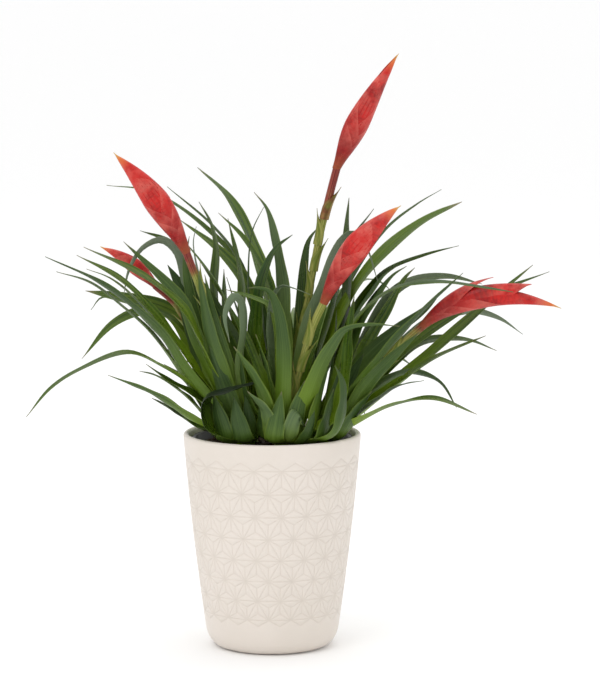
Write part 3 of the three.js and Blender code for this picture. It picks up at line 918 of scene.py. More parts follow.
@dataclass(frozen=True)
class CoverPot:
    """The ceramic cover pot, with a star lattice incised in its wall."""

    height: float = 158 * MM
    rim_radius: float = 65 * MM
    waist_radius: float = 49 * MM
    waist_height: float = 15 * MM
    foot_radius: float = 37 * MM
    wall: float = 4 * MM
    floor: float = 6 * MM
    bow: float = 1.2 * MM
    lip: float = 2 * MM
    stars: int = 20  # round the pot
    star_rows: int = 8
    cuts: int = 2  # that the lattice's faces are split by, so that they follow the wall
    top_row: float = 139 * MM  # height of the highest row of stars
    turn: float = 6.6  # of a star of that row from the front, in degrees
    ring_count: int = 8  # down the inner wall, and round the lip
    lattice_top: float = 148 * MM
    lattice_foot: float = 19 * MM
    line_depth: float = 0.3 * MM
    line_half_width: float = 0.6 * MM

    def wall_radius(self, height: float) -> float:
        """Find the outer radius of the wall at a height.

        Args:
            height: the height above the ground.

        Returns:
            The radius.
        """
        share = (height - self.waist_height) / (self.height - self.lip - self.waist_height)
        middle = (self.waist_radius + self.rim_radius) / 2 + 2 * self.bow
        return bend(self.waist_radius, middle, self.rim_radius, share)

    def row_levels(self) -> list[float]:
        """Work out the heights of the rows of stars, one more at either end, from the foot up.

        Returns:
            The heights, a row's rise apart: that of an even triangle as wide as a star there.
        """

        def rise(height: float) -> float:
            """Find the rise of one row at a height."""
            return math.tau * self.wall_radius(height) / self.stars * math.sqrt(3) / 2

        levels = [self.top_row + rise(self.top_row), self.top_row]
        for _ in range(self.star_rows):
            levels.append(levels[-1] - rise(levels[-1]))
        return levels[::-1]

    def build(self) -> bpy.types.Object:
        """Model the pot from its lattice band, which is carried on round the lip and the foot.

        Returns:
            The pot.
        """
        pot = self._flat_lattice()
        self._wrap(pot)
        lip_height = self.height - self.lip
        above = [self.lattice_top, (self.lattice_top + lip_height) / 2, lip_height]
        self._level_edge(pot, 1, self.lattice_top)
        carry_loop(self._wall_rings(above) + self._lip_rings() + self._inner_rings())
        self._level_edge(pot, -1, self.lattice_foot)
        below = [self.lattice_foot, self.waist_height]
        carry_loop(self._wall_rings(below) + self._foot_rings())
        face_outwards(pot, 70)
        return pot

    def _flat_lattice(self) -> bpy.types.Object:
        """Model the band flat: even triangles, each split to its middle, with sunk lines.

        Returns:
            The band, one unit wide for each star and one unit high for each row.
        """
        rows = self.star_rows + 1
        counts = {"x_subdivisions": self.stars, "y_subdivisions": rows}
        name = "cover_pot_dressed"
        band = added(bpy.ops.mesh.primitive_grid_add, name, size=2, calc_uvs=False, **counts)
        pitch = math.tau * self.wall_radius((self.top_row + self.lattice_foot) / 2) / self.stars
        rise = pitch * math.sqrt(3) / 2
        for vertex in band.data.vertices:
            row = round((vertex.co.y + 1) / 2 * rows)
            column = (vertex.co.x + 1) / 2 * self.stars
            vertex.co = (pitch * (column + row / 2), rise * row, 0)
        with editing(band):
            bpy.ops.mesh.quads_convert_to_tris(quad_method="SHORTEST_DIAGONAL")
            bpy.ops.mesh.poke()
            bpy.ops.mesh.select_all(action="SELECT")
            lines = {"thickness": self.line_half_width, "depth": self.line_depth}
            bpy.ops.mesh.inset(use_individual=True, **lines)
            bpy.ops.mesh.select_all(action="SELECT")
            bpy.ops.mesh.subdivide(number_cuts=self.cuts)
        for vertex in band.data.vertices:
            vertex.co.x /= pitch
            vertex.co.y /= rise
        self._clip_to_rays(band)
        return band

    def _clip_to_rays(self, band: bpy.types.Object) -> None:
        """Cut the band off along the outermost stars' short rays.

        Args:
            band: the flat band.
        """
        with editing(band, "DESELECT"):
            bpy.ops.mesh.select_mode(type="FACE")
        for face in band.data.polygons:
            column, row, _ = face.center
            end_row = self.star_rows if row > self.star_rows else 1
            past = max(row - self.star_rows, 1 - row)
            swing = abs(2 * ((column - end_row / 2) % 1) - 1)
            face.select = past > (1 - swing) / 3
        bpy.ops.object.mode_set(mode="EDIT")
        bpy.ops.mesh.delete(type="FACE")
        bpy.ops.object.mode_set(mode="OBJECT")

    def _wrap(self, band: bpy.types.Object) -> None:
        """Lay the flat band round the pot and weld its seam.

        Args:
            band: the flat band.
        """
        levels = self.row_levels()
        grooves = []
        for vertex in band.data.vertices:
            column, row, relief = vertex.co
            below = min(int(max(row, 0)), len(levels) - 2)
            height = blend(levels[below], levels[below + 1], row - below)
            angle = math.radians(self.turn) + math.tau * (column - self.star_rows / 2) / self.stars
            radius = self.wall_radius(height) - (self.line_depth - relief)
            vertex.co = (radius * math.sin(angle), -radius * math.cos(angle), height)
            grooves.append(1 - relief / self.line_depth)
        paint(band, "groove", grooves)
        with editing(band):
            bpy.ops.mesh.remove_doubles(threshold=0.01 * MM)

    def _level_edge(self, band: bpy.types.Object, way: int, level: float) -> None:
        """Carry the band's zigzag edge out of its groove and on to a level ring, left selected.

        Args:
            band: the wrapped band.
            way: 1 for its upper edge and -1 for its lower one.
            level: the ring's height.
        """
        uses = Counter(key for face in band.data.polygons for key in face.edge_keys)
        rim = {index for key, count in uses.items() if count == 1 for index in key}
        middle = self.height / 2
        edge = {i for i in rim if way * (band.data.vertices[i].co.z - middle) > 0}
        select_points(band, edge)
        clear = self.line_half_width / math.cos(math.radians(30))
        for height in (None, level):
            bpy.ops.object.mode_set(mode="EDIT")
            bpy.ops.mesh.extrude_region_move(TRANSFORM_OT_translate={"value": (0, 0, 0)})
            bpy.ops.object.mode_set(mode="OBJECT")
            groove = band.data.attributes["groove"].data
            for vertex in band.data.vertices:
                if not vertex.select:
                    continue
                groove[vertex.index].value = 0
                z = vertex.co.z + way * clear if height is None else height
                scale = self.wall_radius(z) / vertex.co.xy.length
                vertex.co = (vertex.co.x * scale, vertex.co.y * scale, z)

    def _wall_rings(self, levels: list[float]) -> Rings:
        """Find the wall's rings at these heights."""
        return [(self.wall_radius(level), level) for level in levels]

    def _lip_rings(self) -> Rings:
        """Work out the rounded lip, from the outside over the top.

        Returns:
            Radius and height of each ring.
        """
        middle = self.rim_radius - self.lip
        centre = self.height - self.lip
        inner = (self.wall - self.lip) / self.lip
        rings = []
        for i in range(1, self.ring_count + 1):
            angle = math.pi * i / self.ring_count
            swing = math.cos(angle)
            reach = self.lip * (swing if swing > 0 else swing * inner)
            rings.append((middle + reach, centre + self.lip * math.sin(angle)))
        return rings

    def _inner_rings(self) -> Rings:
        """Work out the inner wall and floor, down to the axis.

        Returns:
            Radius and height of each ring.
        """
        top = (self.rim_radius - self.wall, self.height - self.lip)
        heel = (self.waist_radius - self.wall + 1 * MM, self.waist_height + 2 * MM)
        shares = [i / self.ring_count for i in range(1, self.ring_count + 1)]
        wall = [(blend(top[0], heel[0], t), blend(top[1], heel[1], t)) for t in shares]
        corner = (self.waist_radius - self.wall, self.floor)
        end = (self.foot_radius, self.floor)
        return wall + self._rounded(heel, corner, end, 5) + to_axis(*end)

    def _foot_rings(self) -> Rings:
        """Work out the rounded foot and the ground face, in to the axis.

        Returns:
            Radius and height of each ring.
        """
        start = (self.waist_radius, self.waist_height)
        corner = (self.waist_radius - 2 * MM, 1.5 * MM)
        end = (self.foot_radius, 0)
        return self._rounded(start, corner, end, 9) + to_axis(*end)

    def _rounded(self, start: Span, corner: Span, end: Span, steps: int) -> Rings:
        """Round a corner from a wall to a floor.

        Args:
            start: radius and height where the wall ends.
            corner: the corner that is rounded off.
            end: radius and height where the floor starts.
            steps: how many rings it takes.

        Returns:
            Radius and height of each ring after the start.
        """
        shares = [i / steps for i in range(1, steps + 1)]
        return [tuple(bend(*axis, t) for axis in zip(start, corner, end)) for t in shares]


@dataclass(frozen=True)
class GrowerPot:
    """The thin black pot that the plants were grown in."""

    height: float = 148 * MM
    rim_radius: float = 57.5 * MM
    foot_radius: float = 40 * MM
    wall: float = 1.6 * MM
    rim_band: float = 7 * MM
    rim_proud: float = 1.6 * MM
    drain_holes: int = 5
    drain_radius: float = 4 * MM
    drain_circle: float = 26 * MM
    foot: float = 6.3 * MM  # of its own foot above the ground
    sides: int = 96

    def outer(self, height: float) -> float:
        """Find its outer radius at a height above its foot."""
        return blend(self.foot_radius, self.rim_radius, height / self.height)

    def bore(self, height: float) -> float:
        """Find its inner radius at a height above its foot."""
        return self.outer(height) - self.wall

    def build(self) -> bpy.types.Object:
        """Model the pot and drill its drain holes.

        Returns:
            The pot.
        """
        start = 0.3 * self.foot_radius
        pot = disc("grower_pot_dressed", self.sides, start, self.foot)
        select_points(pot, outer_points(pot, start / 2))
        carry_loop([(r, self.foot + z) for r, z in [(start, 0), *self._profile()]])
        face_outwards(pot, 40)
        for i in range(self.drain_holes):
            angle = math.tau * i / self.drain_holes
            x, y = self.drain_circle * math.cos(angle), self.drain_circle * math.sin(angle)
            drill = {"vertices": 20, "radius": self.drain_radius, "depth": 12 * MM}
            place = (x, y, self.foot)
            cylinder = bpy.ops.mesh.primitive_cylinder_add
            cut_away(pot, added(cylinder, "drill", location=place, **drill))
        face_outwards(pot, 40)
        return pot

    def _profile(self) -> Rings:
        """Work out the wall, up its outside and down its inside, above the pot's foot.

        Returns:
            Radius and height of each ring.
        """
        edge = 0.5 * MM
        band_foot = self.height - self.rim_band
        band = self.outer(band_foot)
        top = self.rim_radius + self.rim_proud
        floor = 2 * self.wall
        return [
            (self.foot_radius - 3 * MM, 0),
            (self.foot_radius - 0.9 * MM, 0.9 * MM),
            (self.foot_radius, 3 * MM),
            (self.outer(self.height / 2), self.height / 2),
            (band, band_foot),
            (band + self.rim_proud - edge, band_foot),
            (band + self.rim_proud, band_foot + edge),
            (top, self.height - edge),
            (top - edge, self.height),
            (self.rim_radius - self.wall + edge, self.height),
            (self.rim_radius - self.wall, self.height - edge),
            (self.bore(self.height / 2), self.height / 2),
            (self.bore(floor), floor),
            (0.4 * self.foot_radius, floor),
            (0, floor),
        ]


@dataclass(frozen=True)
class SoilBed:
    """Peat, domed in the middle, with a hole for each plant and loose crumbs on top."""

    pot: GrowerPot
    drop: float = 6 * MM
    dome: float = 5 * MM
    sides: int = 96
    rings: int = 26
    roughness: float = 1.3 * MM
    lump_scale: float = 170  # how fine the lumps are
    grain_scale: float = 420
    crumbs: int = 260
    crumb_sizes: Span = (0.7, 2.0)  # in millimetres
    crumb_gap: float = 2.5 * MM  # kept clear of the pot's wall
    seed: int = 4

    @property
    def level(self) -> float:
        """Its height at the pot's wall."""
        return self.pot.foot + self.pot.height - self.drop

    def top(self, distance: float) -> float:
        """Find the height of its domed top at a distance from the pot's axis."""
        rim = self.pot.bore(self.pot.height - self.drop)
        return self.level + self.dome * (1 - (distance / rim) ** 2)

    def build(self, crowns: list["Crown"]) -> bpy.types.Object:
        """Model the bed.

        Args:
            crowns: the crowns that stand in it.

        Returns:
            The bed.
        """
        bottom = self.pot.foot + 2 * self.pot.wall + SEAT
        bottom_radius = self.pot.bore(bottom - self.pot.foot) - SEAT
        top_radius = self.pot.bore(self.level - self.pot.foot) - SEAT
        name = "soil_dressed"
        bed = disc(name, self.sides, bottom_radius, bottom)
        shares = [i / 4 for i in range(5)]
        wall = [(blend(bottom_radius, top_radius, t), blend(bottom, self.level, t)) for t in shares]
        radii = [top_radius * (1 - i / self.rings) for i in range(1, self.rings + 1)]
        select_points(bed, outer_points(bed, bottom_radius / 2))
        carry_loop(wall + [(radius, self.top(radius)) for radius in radii])
        self._roughen(bed, top_radius)
        face_outwards(bed, 60)
        for crown in crowns:
            cut_away(bed, crown.build("crown hole", SEAT))
        return joined([bed, *self._crumbs(crowns, top_radius)], name)

    def _roughen(self, bed: bpy.types.Object, top_radius: float) -> None:
        """Lump the top of the bed, less so by the pot's wall.

        Args:
            bed: the bed.
            top_radius: its radius at the top.
        """
        for vertex in bed.data.vertices:
            if vertex.co.z < self.level + 0.01 * MM:
                continue
            calm = 1 - (vertex.co.xy.length / top_radius) ** 6
            lumps = noise.noise(vertex.co * self.lump_scale)
            grains = 0.5 * noise.noise(vertex.co * self.grain_scale)
            vertex.co.z += self.roughness * calm * (lumps + grains)

    def _crumbs(self, crowns: list["Crown"], top_radius: float) -> list[bpy.types.Object]:
        """Strew crumbs of peat over the top, clear of the crowns.

        Args:
            crowns: the crowns that stand in the bed.
            top_radius: the bed's radius at the top.

        Returns:
            The crumbs.
        """
        draw = random.Random(self.seed)
        sphere = bpy.ops.mesh.primitive_ico_sphere_add
        pattern = added(sphere, "peat crumb", subdivisions=2, radius=1)
        crumbs = []
        while len(crumbs) < self.crumbs:
            distance = (top_radius - self.crumb_gap) * math.sqrt(draw.random())
            angle = math.tau * draw.random()
            spot = Vector((distance * math.cos(angle), distance * math.sin(angle), 0))
            size = draw.uniform(*self.crumb_sizes) * MM
            flat = draw.uniform(0.45, 0.9)
            key = Vector([draw.uniform(0, 50) for _ in range(3)])
            if any((crown.foot.xy - spot.xy).length < crown.radius + size for crown in crowns):
                continue
            spot.z = self.top(distance) + 0.15 * size

            def placing(x: float, y: float, z: float) -> Vector:
                """Place a point of this crumb."""
                lump = 1 + 0.55 * noise.noise(Vector((x, y, z)) * 1.3 + key)
                return spot + size * lump * Vector((x, y * flat, z * flat))

            crumbs.append(shaped_copy(pattern, "crumb", placing))
        bpy.data.objects.remove(pattern)
        return crumbs


# ---- Plants -------------------------------------------------------------------------------


@dataclass(frozen=True)
class LeafPlan:
    """A leaf: width, roll in degrees that lifts the edge on the left looking out, and points."""

    width: float
    roll: float
    points: tuple[Point, ...]
    taper: float
    bloom: float


def leaf(
    width: float, roll: float, *points: Point, taper: float = 2.6, bloom: float = 0
) -> LeafPlan:
    """Write down a leaf.

    Args:
        width: its width in millimetres.
        roll: how far it is rolled, in degrees.
        points: its points from above the crown to its tip.
        taper: how long it keeps its width, which is more for a blunt leaf.
        bloom: how grey it is, to 1, or below 0 how much darker than most, to -1.

    Returns:
        The leaf's plan.
    """
    return LeafPlan(width, roll, points, taper, bloom)


@dataclass(frozen=True)
class HeadPlan:
    """A flower head: points, width, the way that its flat face looks, and its loose bracts."""

    points: tuple[Point, Point, Point]
    width: float
    peak: float = 0.5  # the share of its length where it is widest
    facing: float = 0
    flare: float = 0


@dataclass(frozen=True)
class BackLeaves:
    """Leaves that arch away behind a rosette, spread evenly between two angles."""

    start: float
    end: float
    count: int
    reach: float
    rise: float
    reach_shares: Span = (0.72, 1.12)  # the least and the most of it that a leaf has
    rise_shares: Span = (0.75, 1.25)
    tip_shares: Span = (0.3, 1)  # how much of its rise a leaf's tip keeps
    widths: Span = (10, 13)


@dataclass(frozen=True)
class RosettePlan:
    """A rosette: where its crown stands, its stem and how far down that is red, head, leaves."""

    name: str
    crown: tuple[float, float]
    stem: tuple[Point, ...]
    flush: Span
    head: HeadPlan
    leaves: tuple[LeafPlan, ...]
    back: BackLeaves | None = None


ROSETTES = (
    RosettePlan(
        name="centre_back",
        crown=(13, 27),
        stem=((17, 215, 24), (26, 255, 20), (34, 299, 18), (43, 336, 16), (47.5, 353, 16)),
        flush=(0.72, 0.94),
        head=HeadPlan(
            ((47.5, 353, 16), (67.5, 394.5, 14), (91.5, 434.5, 12)), 19, peak=0.38, facing=35
        ),
        leaves=(
            leaf(6, -5, (-18, 271, 50), (-47, 307, 58), (-87, 334, 67), (-120, 339, 74)),
            leaf(7, -5, (-17, 262, 40), (-25, 285, 46), (-43, 309, 52), (-76, 338, 60)),
            leaf(14, -30, (-17, 262, 34), (-36, 289, 40), (-67, 314, 46)),
            leaf(15, 0, (-3, 255, 40), (-13, 292, 53), (-31, 329, 67), (-54, 352, 78), taper=4),
            leaf(14, 5, (8, 226, 14), (7, 266, 10), (2, 299, 7), (-4, 322, 5), (-13, 334, 4),
                 bloom=0.3),
            leaf(11, -15, (-1, 262, 30), (-7, 278, 29), (-21, 301, 27), (-39, 319, 26)),
            leaf(12, 5, (21, 226, 31), (24, 284, 40), (27, 299, 43), (34, 309, 46)),
            leaf(9, 15, (22, 222, 11), (28, 244, 11), (37, 265, 10), (46, 288, 8), (53, 300, 6),
                 (60, 304, 5), (67, 297, 1), (77, 269, -6), taper=6, bloom=0.6),
            leaf(16, 20, (52, 233, 28), (56, 262, 33), (55, 305, 41), (56, 330, 44), taper=4),
            leaf(10, 0, (48, 262, 34), (57, 296, 42), (74, 322, 50), taper=4, bloom=-0.3),
            leaf(13, 20, (50, 244, 30), (65, 270, 32), (82, 290, 34), (109, 312, 37),
                 (138, 327, 40), taper=6),
            leaf(8, 0, (53, 262, 50), (82, 306, 61), (105, 325, 68), (123, 336, 72), taper=1.6),
            leaf(5, 0, (-16, 250, 12), (-17, 288, 10), (-14, 307, 9), (-6, 323, 6)),
            leaf(13, 0, (-6, 190, 16), (-13, 232, 16)),
            leaf(13, 0, (-2, 218, 8), (-8, 264, 3)),
            leaf(13, -20, (-12, 206, 14), (-33, 272, 4)),
            leaf(13, 0, (10, 228, 42), (6, 277, 50)),
            leaf(13, 0, (28, 215, 34), (40, 264, 40)),
            leaf(11, 20, (35, 204, 19), (50, 238, 15)),
        ),
        back=BackLeaves(58, 122, 8, 150, 78),
    ),
    RosettePlan(
        name="centre_front",
        crown=(10, -25),
        stem=((12, 176, -28), (16, 187, -30), (24, 218, -36), (31, 239, -40), (38.5, 255, -43)),
        flush=(0.9, 1.3),
        head=HeadPlan(
            ((38.5, 255, -43), (60, 292, -48), (93.5, 324.5, -52)), 19, peak=0.53, facing=-20
        ),
        leaves=(
            leaf(12, 0, (7, 170, -42), (8, 218, -50), (4, 248, -56), (-2, 261, -58),
                 (-10, 264, -60), (-18, 264, -62)),
            leaf(8, -15, (4, 222, -26), (2, 241, -26), (-2, 251, -26), (-14, 257, -26),
                 (-34, 263, -26)),
            leaf(11, 0, (-1, 152, -46), (-5, 173, -57), (-18, 188, -70), bloom=0.25),
            leaf(12, 0, (12, 152, -50), (16, 166, -57), (19, 171, -55), (24, 162, -46), taper=6,
                 bloom=0.3),
            leaf(11, 0, (23, 151, -48), (31, 174, -56)),
            leaf(14, -20, (23, 172, -43), (36, 207, -60), (45, 223, -68), (53, 233, -74),
                 (72, 237, -85), (93, 236, -94), taper=1.3, bloom=0.1),
            leaf(14, 45, (46, 167, -34), (52, 186, -35), (55, 203, -35), (57, 232, -34),
                 (60, 258, -28), taper=4),
            leaf(12, 0, (45, 155, -52), (52, 176, -60), (52, 194, -68), (46, 207, -74)),
            leaf(11, 0, (-1, 170, -46), (-13, 198, -54), (-28, 221, -58)),
            leaf(13, -20, (-7, 193, -24), (-18, 223, -20), (-32, 253, -15)),
            leaf(9, -20, (-2, 237, -27), (0, 258, -31), (7, 266, -33), (16, 264, -35),
                 (28, 259, -38), bloom=0.5),
            leaf(11, 20, (23, 202, -24), (31, 228, -24), (41, 255, -24)),
            leaf(12, 10, (-18, 180, -35), (-22, 195, -35), (-23, 218, -40)),
            leaf(13, 10, (-6, 154, -40), (-7, 166, -44), (-9, 180, -46)),
            leaf(13, 10, (29, 158, -44), (33, 174, -44), (38, 196, -40), (43, 222, -36)),
            leaf(15, 0, (1, 151, -53), (3, 166, -57), (7, 188, -53)),
            leaf(15, 0, (15, 152, -48), (18, 170, -50), (24, 196, -46)),
            leaf(15, 0, (35, 152, -44), (41, 168, -46), (45, 190, -42)),
            leaf(11, 0, (-1, 190, -33), (-12, 230, -37)),
            leaf(11, 10, (27, 180, -18), (42, 212, -14)),
        ),
    ),
    RosettePlan(
        name="left_front",
        crown=(-18, -14),
        stem=((-30, 200, -20), (-42, 236, -24), (-52, 263, -28), (-60, 284, -30), (-63, 292, -31)),
        flush=(0.75, 1.0),
        head=HeadPlan(
            ((-63, 292, -31), (-85, 329, -35), (-115, 362.5, -40)), 18.5, peak=0.48, facing=12
        ),
        leaves=(
            leaf(11, 30, (-39, 193, -34), (-55, 227, -30), (-64, 252, -27), (-73, 264, -25),
                 (-108, 298, -20)),
            leaf(15, -45, (-55, 228, -38), (-65, 248, -44), (-93, 272, -54), (-137, 294, -68)),
            leaf(12, -40, (-58, 206, -34), (-84, 243, -56), (-110, 270, -72), (-142, 288, -90)),
            leaf(12, 12, (-64, 203, -44), (-81, 230, -62), (-121, 265, -90), (-165, 287, -118)),
            leaf(10, 0, (-56, 189, -28), (-80, 206, -40), (-105, 216, -53), (-140, 204, -70),
                 (-162, 190, -81), (-180, 169, -92)),
            leaf(11, -25, (-56, 184, -30), (-76, 196, -34), (-92, 208, -38)),
            leaf(9, 25, (-55, 165, -32), (-85, 185, -42), (-120, 200, -52)),
            leaf(12, 0, (-35, 196, -36), (-46, 233, -42), (-54, 278, -47), bloom=0.15),
            leaf(10, 0, (-33, 209, -30), (-42, 240, -34), (-49, 274, -38)),
            leaf(22, -72, (-34, 153, -34), (-45, 163, -42), (-51, 175, -48), (-47, 186, -53),
                 (-36, 190, -53), (-22, 193, -49), (-9, 196, -44), taper=6, bloom=-1),
            leaf(9, 0, (-23, 204, -27), (-20, 236, -32), (-22, 254, -37), (-27, 258, -41),
                 (-34, 245, -48), (-31, 224, -54), taper=3, bloom=0.5),
            leaf(10, 0, (-15, 156, -34), (-20, 185, -42)),
            leaf(14, 20, (-11, 240, -10), (-7, 270, -8), (3, 293, -5), (15, 303, -4)),
            leaf(14, -40, (-24, 232, -8), (-40, 268, -11), (-58, 292, -15), (-68, 302, -17),
                 taper=4),
            leaf(15, 15, (-23, 155, -30), (-30, 176, -35), (-46, 222, -40)),
            leaf(14, 20, (-19, 207, -12), (-31, 235, -9), (-45, 260, -6), (-54, 273, -4)),
            leaf(16, 10, (-33, 151, -41), (-38, 166, -45), (-43, 186, -45)),
            leaf(16, 0, (-21, 151, -47), (-25, 166, -51), (-28, 184, -51)),
            leaf(11, 0, (-17, 190, -12), (-13, 236, -8)),
            leaf(12, 0, (-8, 180, -9), (-3, 222, -3)),
            leaf(12, 0, (-30, 200, -6), (-38, 242, 0)),
            leaf(12, -20, (-52, 190, -24), (-80, 222, -28)),
        ),
    ),
    RosettePlan(
        name="left_back",
        crown=(-33, 16),
        stem=((-45, 205, 14), (-56, 228, 11), (-70, 252, 9), (-85, 266, 5)),
        flush=(0.6, 1.0),
        head=HeadPlan(((-85, 266, 5), (-104, 283, 0), (-125, 294, -3)), 11, peak=0.45),
        leaves=(
            leaf(10, -5, (-63, 279, 28), (-75, 298, 31), (-96, 306, 34)),
            leaf(9, 20, (-57, 240, 4), (-63, 272, -3), (-69, 291, -8), (-80, 299, -11),
                 (-94, 293, -15), (-104, 277, -19), (-108, 259, -22), bloom=0.7),
            leaf(11, -25, (-79, 229, -4), (-96, 252, -8), (-118, 271, -13), (-135, 278, -16)),
            leaf(11, -28, (-87, 229, -10), (-109, 250, -17), (-133, 268, -23), (-157, 276, -28)),
            leaf(14, -25, (-60, 235, 20), (-77, 248, 20), (-100, 255, 19), (-136, 262, 18),
                 taper=3.5),
            leaf(8, 0, (-78, 229, 34), (-92, 245, 34), (-109, 255, 34), (-124, 257, 34),
                 (-132, 248, 34)),
            leaf(10, -30, (-69, 240, 40), (-80, 248, 41), (-97, 247, 43), (-117, 237, 45),
                 (-139, 212, 48)),
            leaf(11, -30, (-63, 184, -4), (-84, 199, -7), (-97, 203, -10)),
            leaf(12, -35, (-55, 162, -6), (-73, 174, -10), (-88, 183, -14)),
            leaf(14, 12, (-21, 248, 22), (-22, 275, 25), (-32, 315, 30)),
            leaf(14, 20, (-41, 262, 16), (-40, 295, 17), (-44, 312, 18), (-53, 327, 20)),
            leaf(12, 0, (-52, 270, 12), (-57, 297, 13), (-55, 309, 14), bloom=0.8),
            leaf(15, 20, (-60, 244, 0), (-67, 265, -1), (-76, 281, -2), taper=4),
            leaf(10, 0, (-58, 251, -14), (-63, 283, -21), (-60, 302, -26)),
            leaf(12, -20, (-48, 200, 22), (-64, 240, 28)),
            leaf(13, 0, (-32, 215, 24), (-35, 278, 30)),
            leaf(12, -30, (-58, 188, 8), (-79, 208, 8)),
        ),
        back=BackLeaves(78, 112, 6, 105, 54),
    ),
    RosettePlan(
        name="right",
        crown=(36, 2),
        stem=((48, 172, 2), (64, 190, 0), (79, 206, -2), (93, 221, -4), (109, 235.5, -7)),
        flush=(0.8, 1.1),
        head=HeadPlan(
            ((109, 235.5, -7), (151, 256.5, -12), (211, 249.5, -18)), 15, peak=0.42, flare=8
        ),
        leaves=(
            leaf(13, 12, (68, 223, 16), (84, 250, 18), (96, 271, 21), (104, 279, 24)),
            leaf(14, 35, (63, 239, 4), (77, 261, 4), (88, 274, 4), (98, 280, 4)),
            leaf(7, -25, (58, 246, 12), (70, 264, 13), (84, 278, 13), (112, 289, 14),
                 (136, 295, 16)),
            leaf(13, -35, (56, 235, -6), (77, 258, -16), (95, 267, -22), (118, 270, -31),
                 (150, 266, -45), (176, 261, -56), taper=3.5),
            leaf(10, 10, (84, 257, 24), (102, 270, 28), (128, 273, 33), (153, 267, 38), bloom=0.5),
            leaf(13, 40, (57, 180, -20), (79, 212, -37), (108, 245, -56), (139, 275, -76)),
            leaf(11, 25, (58, 167, 6), (101, 203, 9), (155, 251, 12), (190, 281, 14)),
            leaf(10, 18, (75, 198, 12), (111, 230, 17), (159, 259, 22), (202, 276, 26), taper=1.8),
            leaf(10, 15, (100, 227, 24), (118, 240, 28), (144, 247, 32), (165, 242, 36),
                 (183, 230, 40), bloom=0.6),
            leaf(9, 15, (93, 213, 20), (112, 225, 25), (142, 226, 31), (164, 218, 36), bloom=0.3),
            leaf(12, 32, (82, 185, -12), (115, 210, -28), (156, 229, -48)),
            leaf(10, -25, (64, 179, -2), (84, 196, -6), (101, 202, -8), (122, 195, -11),
                 (135, 176, -14)),
            leaf(10, 20, (76, 181, -32), (93, 192, -44), (111, 196, -54), bloom=0.3),
            leaf(14, 20, (60, 163, -24), (87, 177, -43), (118, 182, -64), (150, 171, -88)),
            leaf(11, 25, (64, 209, -4), (89, 232, -7), (112, 249, -10), (124, 262, -12)),
            leaf(12, -20, (55, 168, -26), (68, 191, -31), (88, 213, -37), (108, 232, -42)),
            leaf(13, 0, (39, 153, -24), (45, 176, -25), (50, 206, -24)),
            leaf(14, 15, (59, 242, 6), (70, 260, 8), (80, 273, 9), (91, 280, 10), taper=6),
            leaf(14, 5, (49, 153, -26), (60, 170, -32), (73, 188, -36)),
            leaf(13, 0, (42, 200, 4), (47, 248, 6)),
            leaf(12, 0, (32, 184, 7), (30, 228, 11)),
            leaf(12, 20, (50, 184, -8), (67, 216, -14)),
            leaf(12, 20, (60, 180, 12), (86, 208, 18)),
        ),
        back=BackLeaves(40, 68, 5, 90, 48),
    ),
)


@dataclass(frozen=True)
class Crown:
    """The short leaning stem that all the leaves of a rosette spring from."""

    foot: Vector
    lean: Vector
    depth: float = 16 * MM
    rise: float = 22 * MM
    radius: float = 8 * MM
    top_radius: float = 8.5 * MM
    sides: int = 24

    def build(self, name: str, clearance: float = 0) -> bpy.types.Object:
        """Model the crown, or the hole that it stands in.

        Args:
            name: its name.
            clearance: how much it is grown by.

        Returns:
            The closed shape.
        """
        length = self.depth + self.rise
        return added(
            bpy.ops.mesh.primitive_cone_add,
            name,
            vertices=self.sides,
            radius1=self.radius + clearance,
            radius2=self.top_radius + clearance,
            depth=length + 2 * clearance,
            end_fill_type="TRIFAN",
            calc_uvs=False,
            location=self.foot + self.lean * (length / 2 - self.depth),
            rotation=Vector((0, 0, 1)).rotation_difference(self.lean).to_euler(),
        )


@dataclass(frozen=True)
class BladeForm:
    """The form that all the leaves share: a clasping sheath, a channelled strap, a long point."""

    columns: int = 8
    rows: int = 46
    rib: float = 0.9 * MM  # thickness at the midrib
    edge_share: float = 0.5  # thickness at the edges, as a share of the rib's
    tip_share: float = 0.5
    root_rise: float = 3 * MM
    root_radius: float = 6 * MM
    sheath: float = 0.7
    sheath_end: float = 0.3
    taper_start: float = 0.25
    channel: float = 0.3
    flat_channel: float = 0.13
    roll_end: float = 0.45
    ripple: float = 0.05  # of the edges, as a share of the width
    tip_half_width: float = 0.15 * MM
    smooth_angle: float = 45

    def half_width(self, width: float, share: float, taper: float) -> float:
        """Find half of a blade's width at a share of its length.

        Args:
            width: the blade's full width.
            share: the share of its length.
            taper: how long it keeps its width.

        Returns:
            Half the width there.
        """
        sheath = 1 + self.sheath * max(0, 1 - share / self.sheath_end)
        past = max(0, (share - self.taper_start) / (1 - self.taper_start))
        return max(self.tip_half_width, width / 2 * sheath * (1 - past**taper))


BLADE = BladeForm()


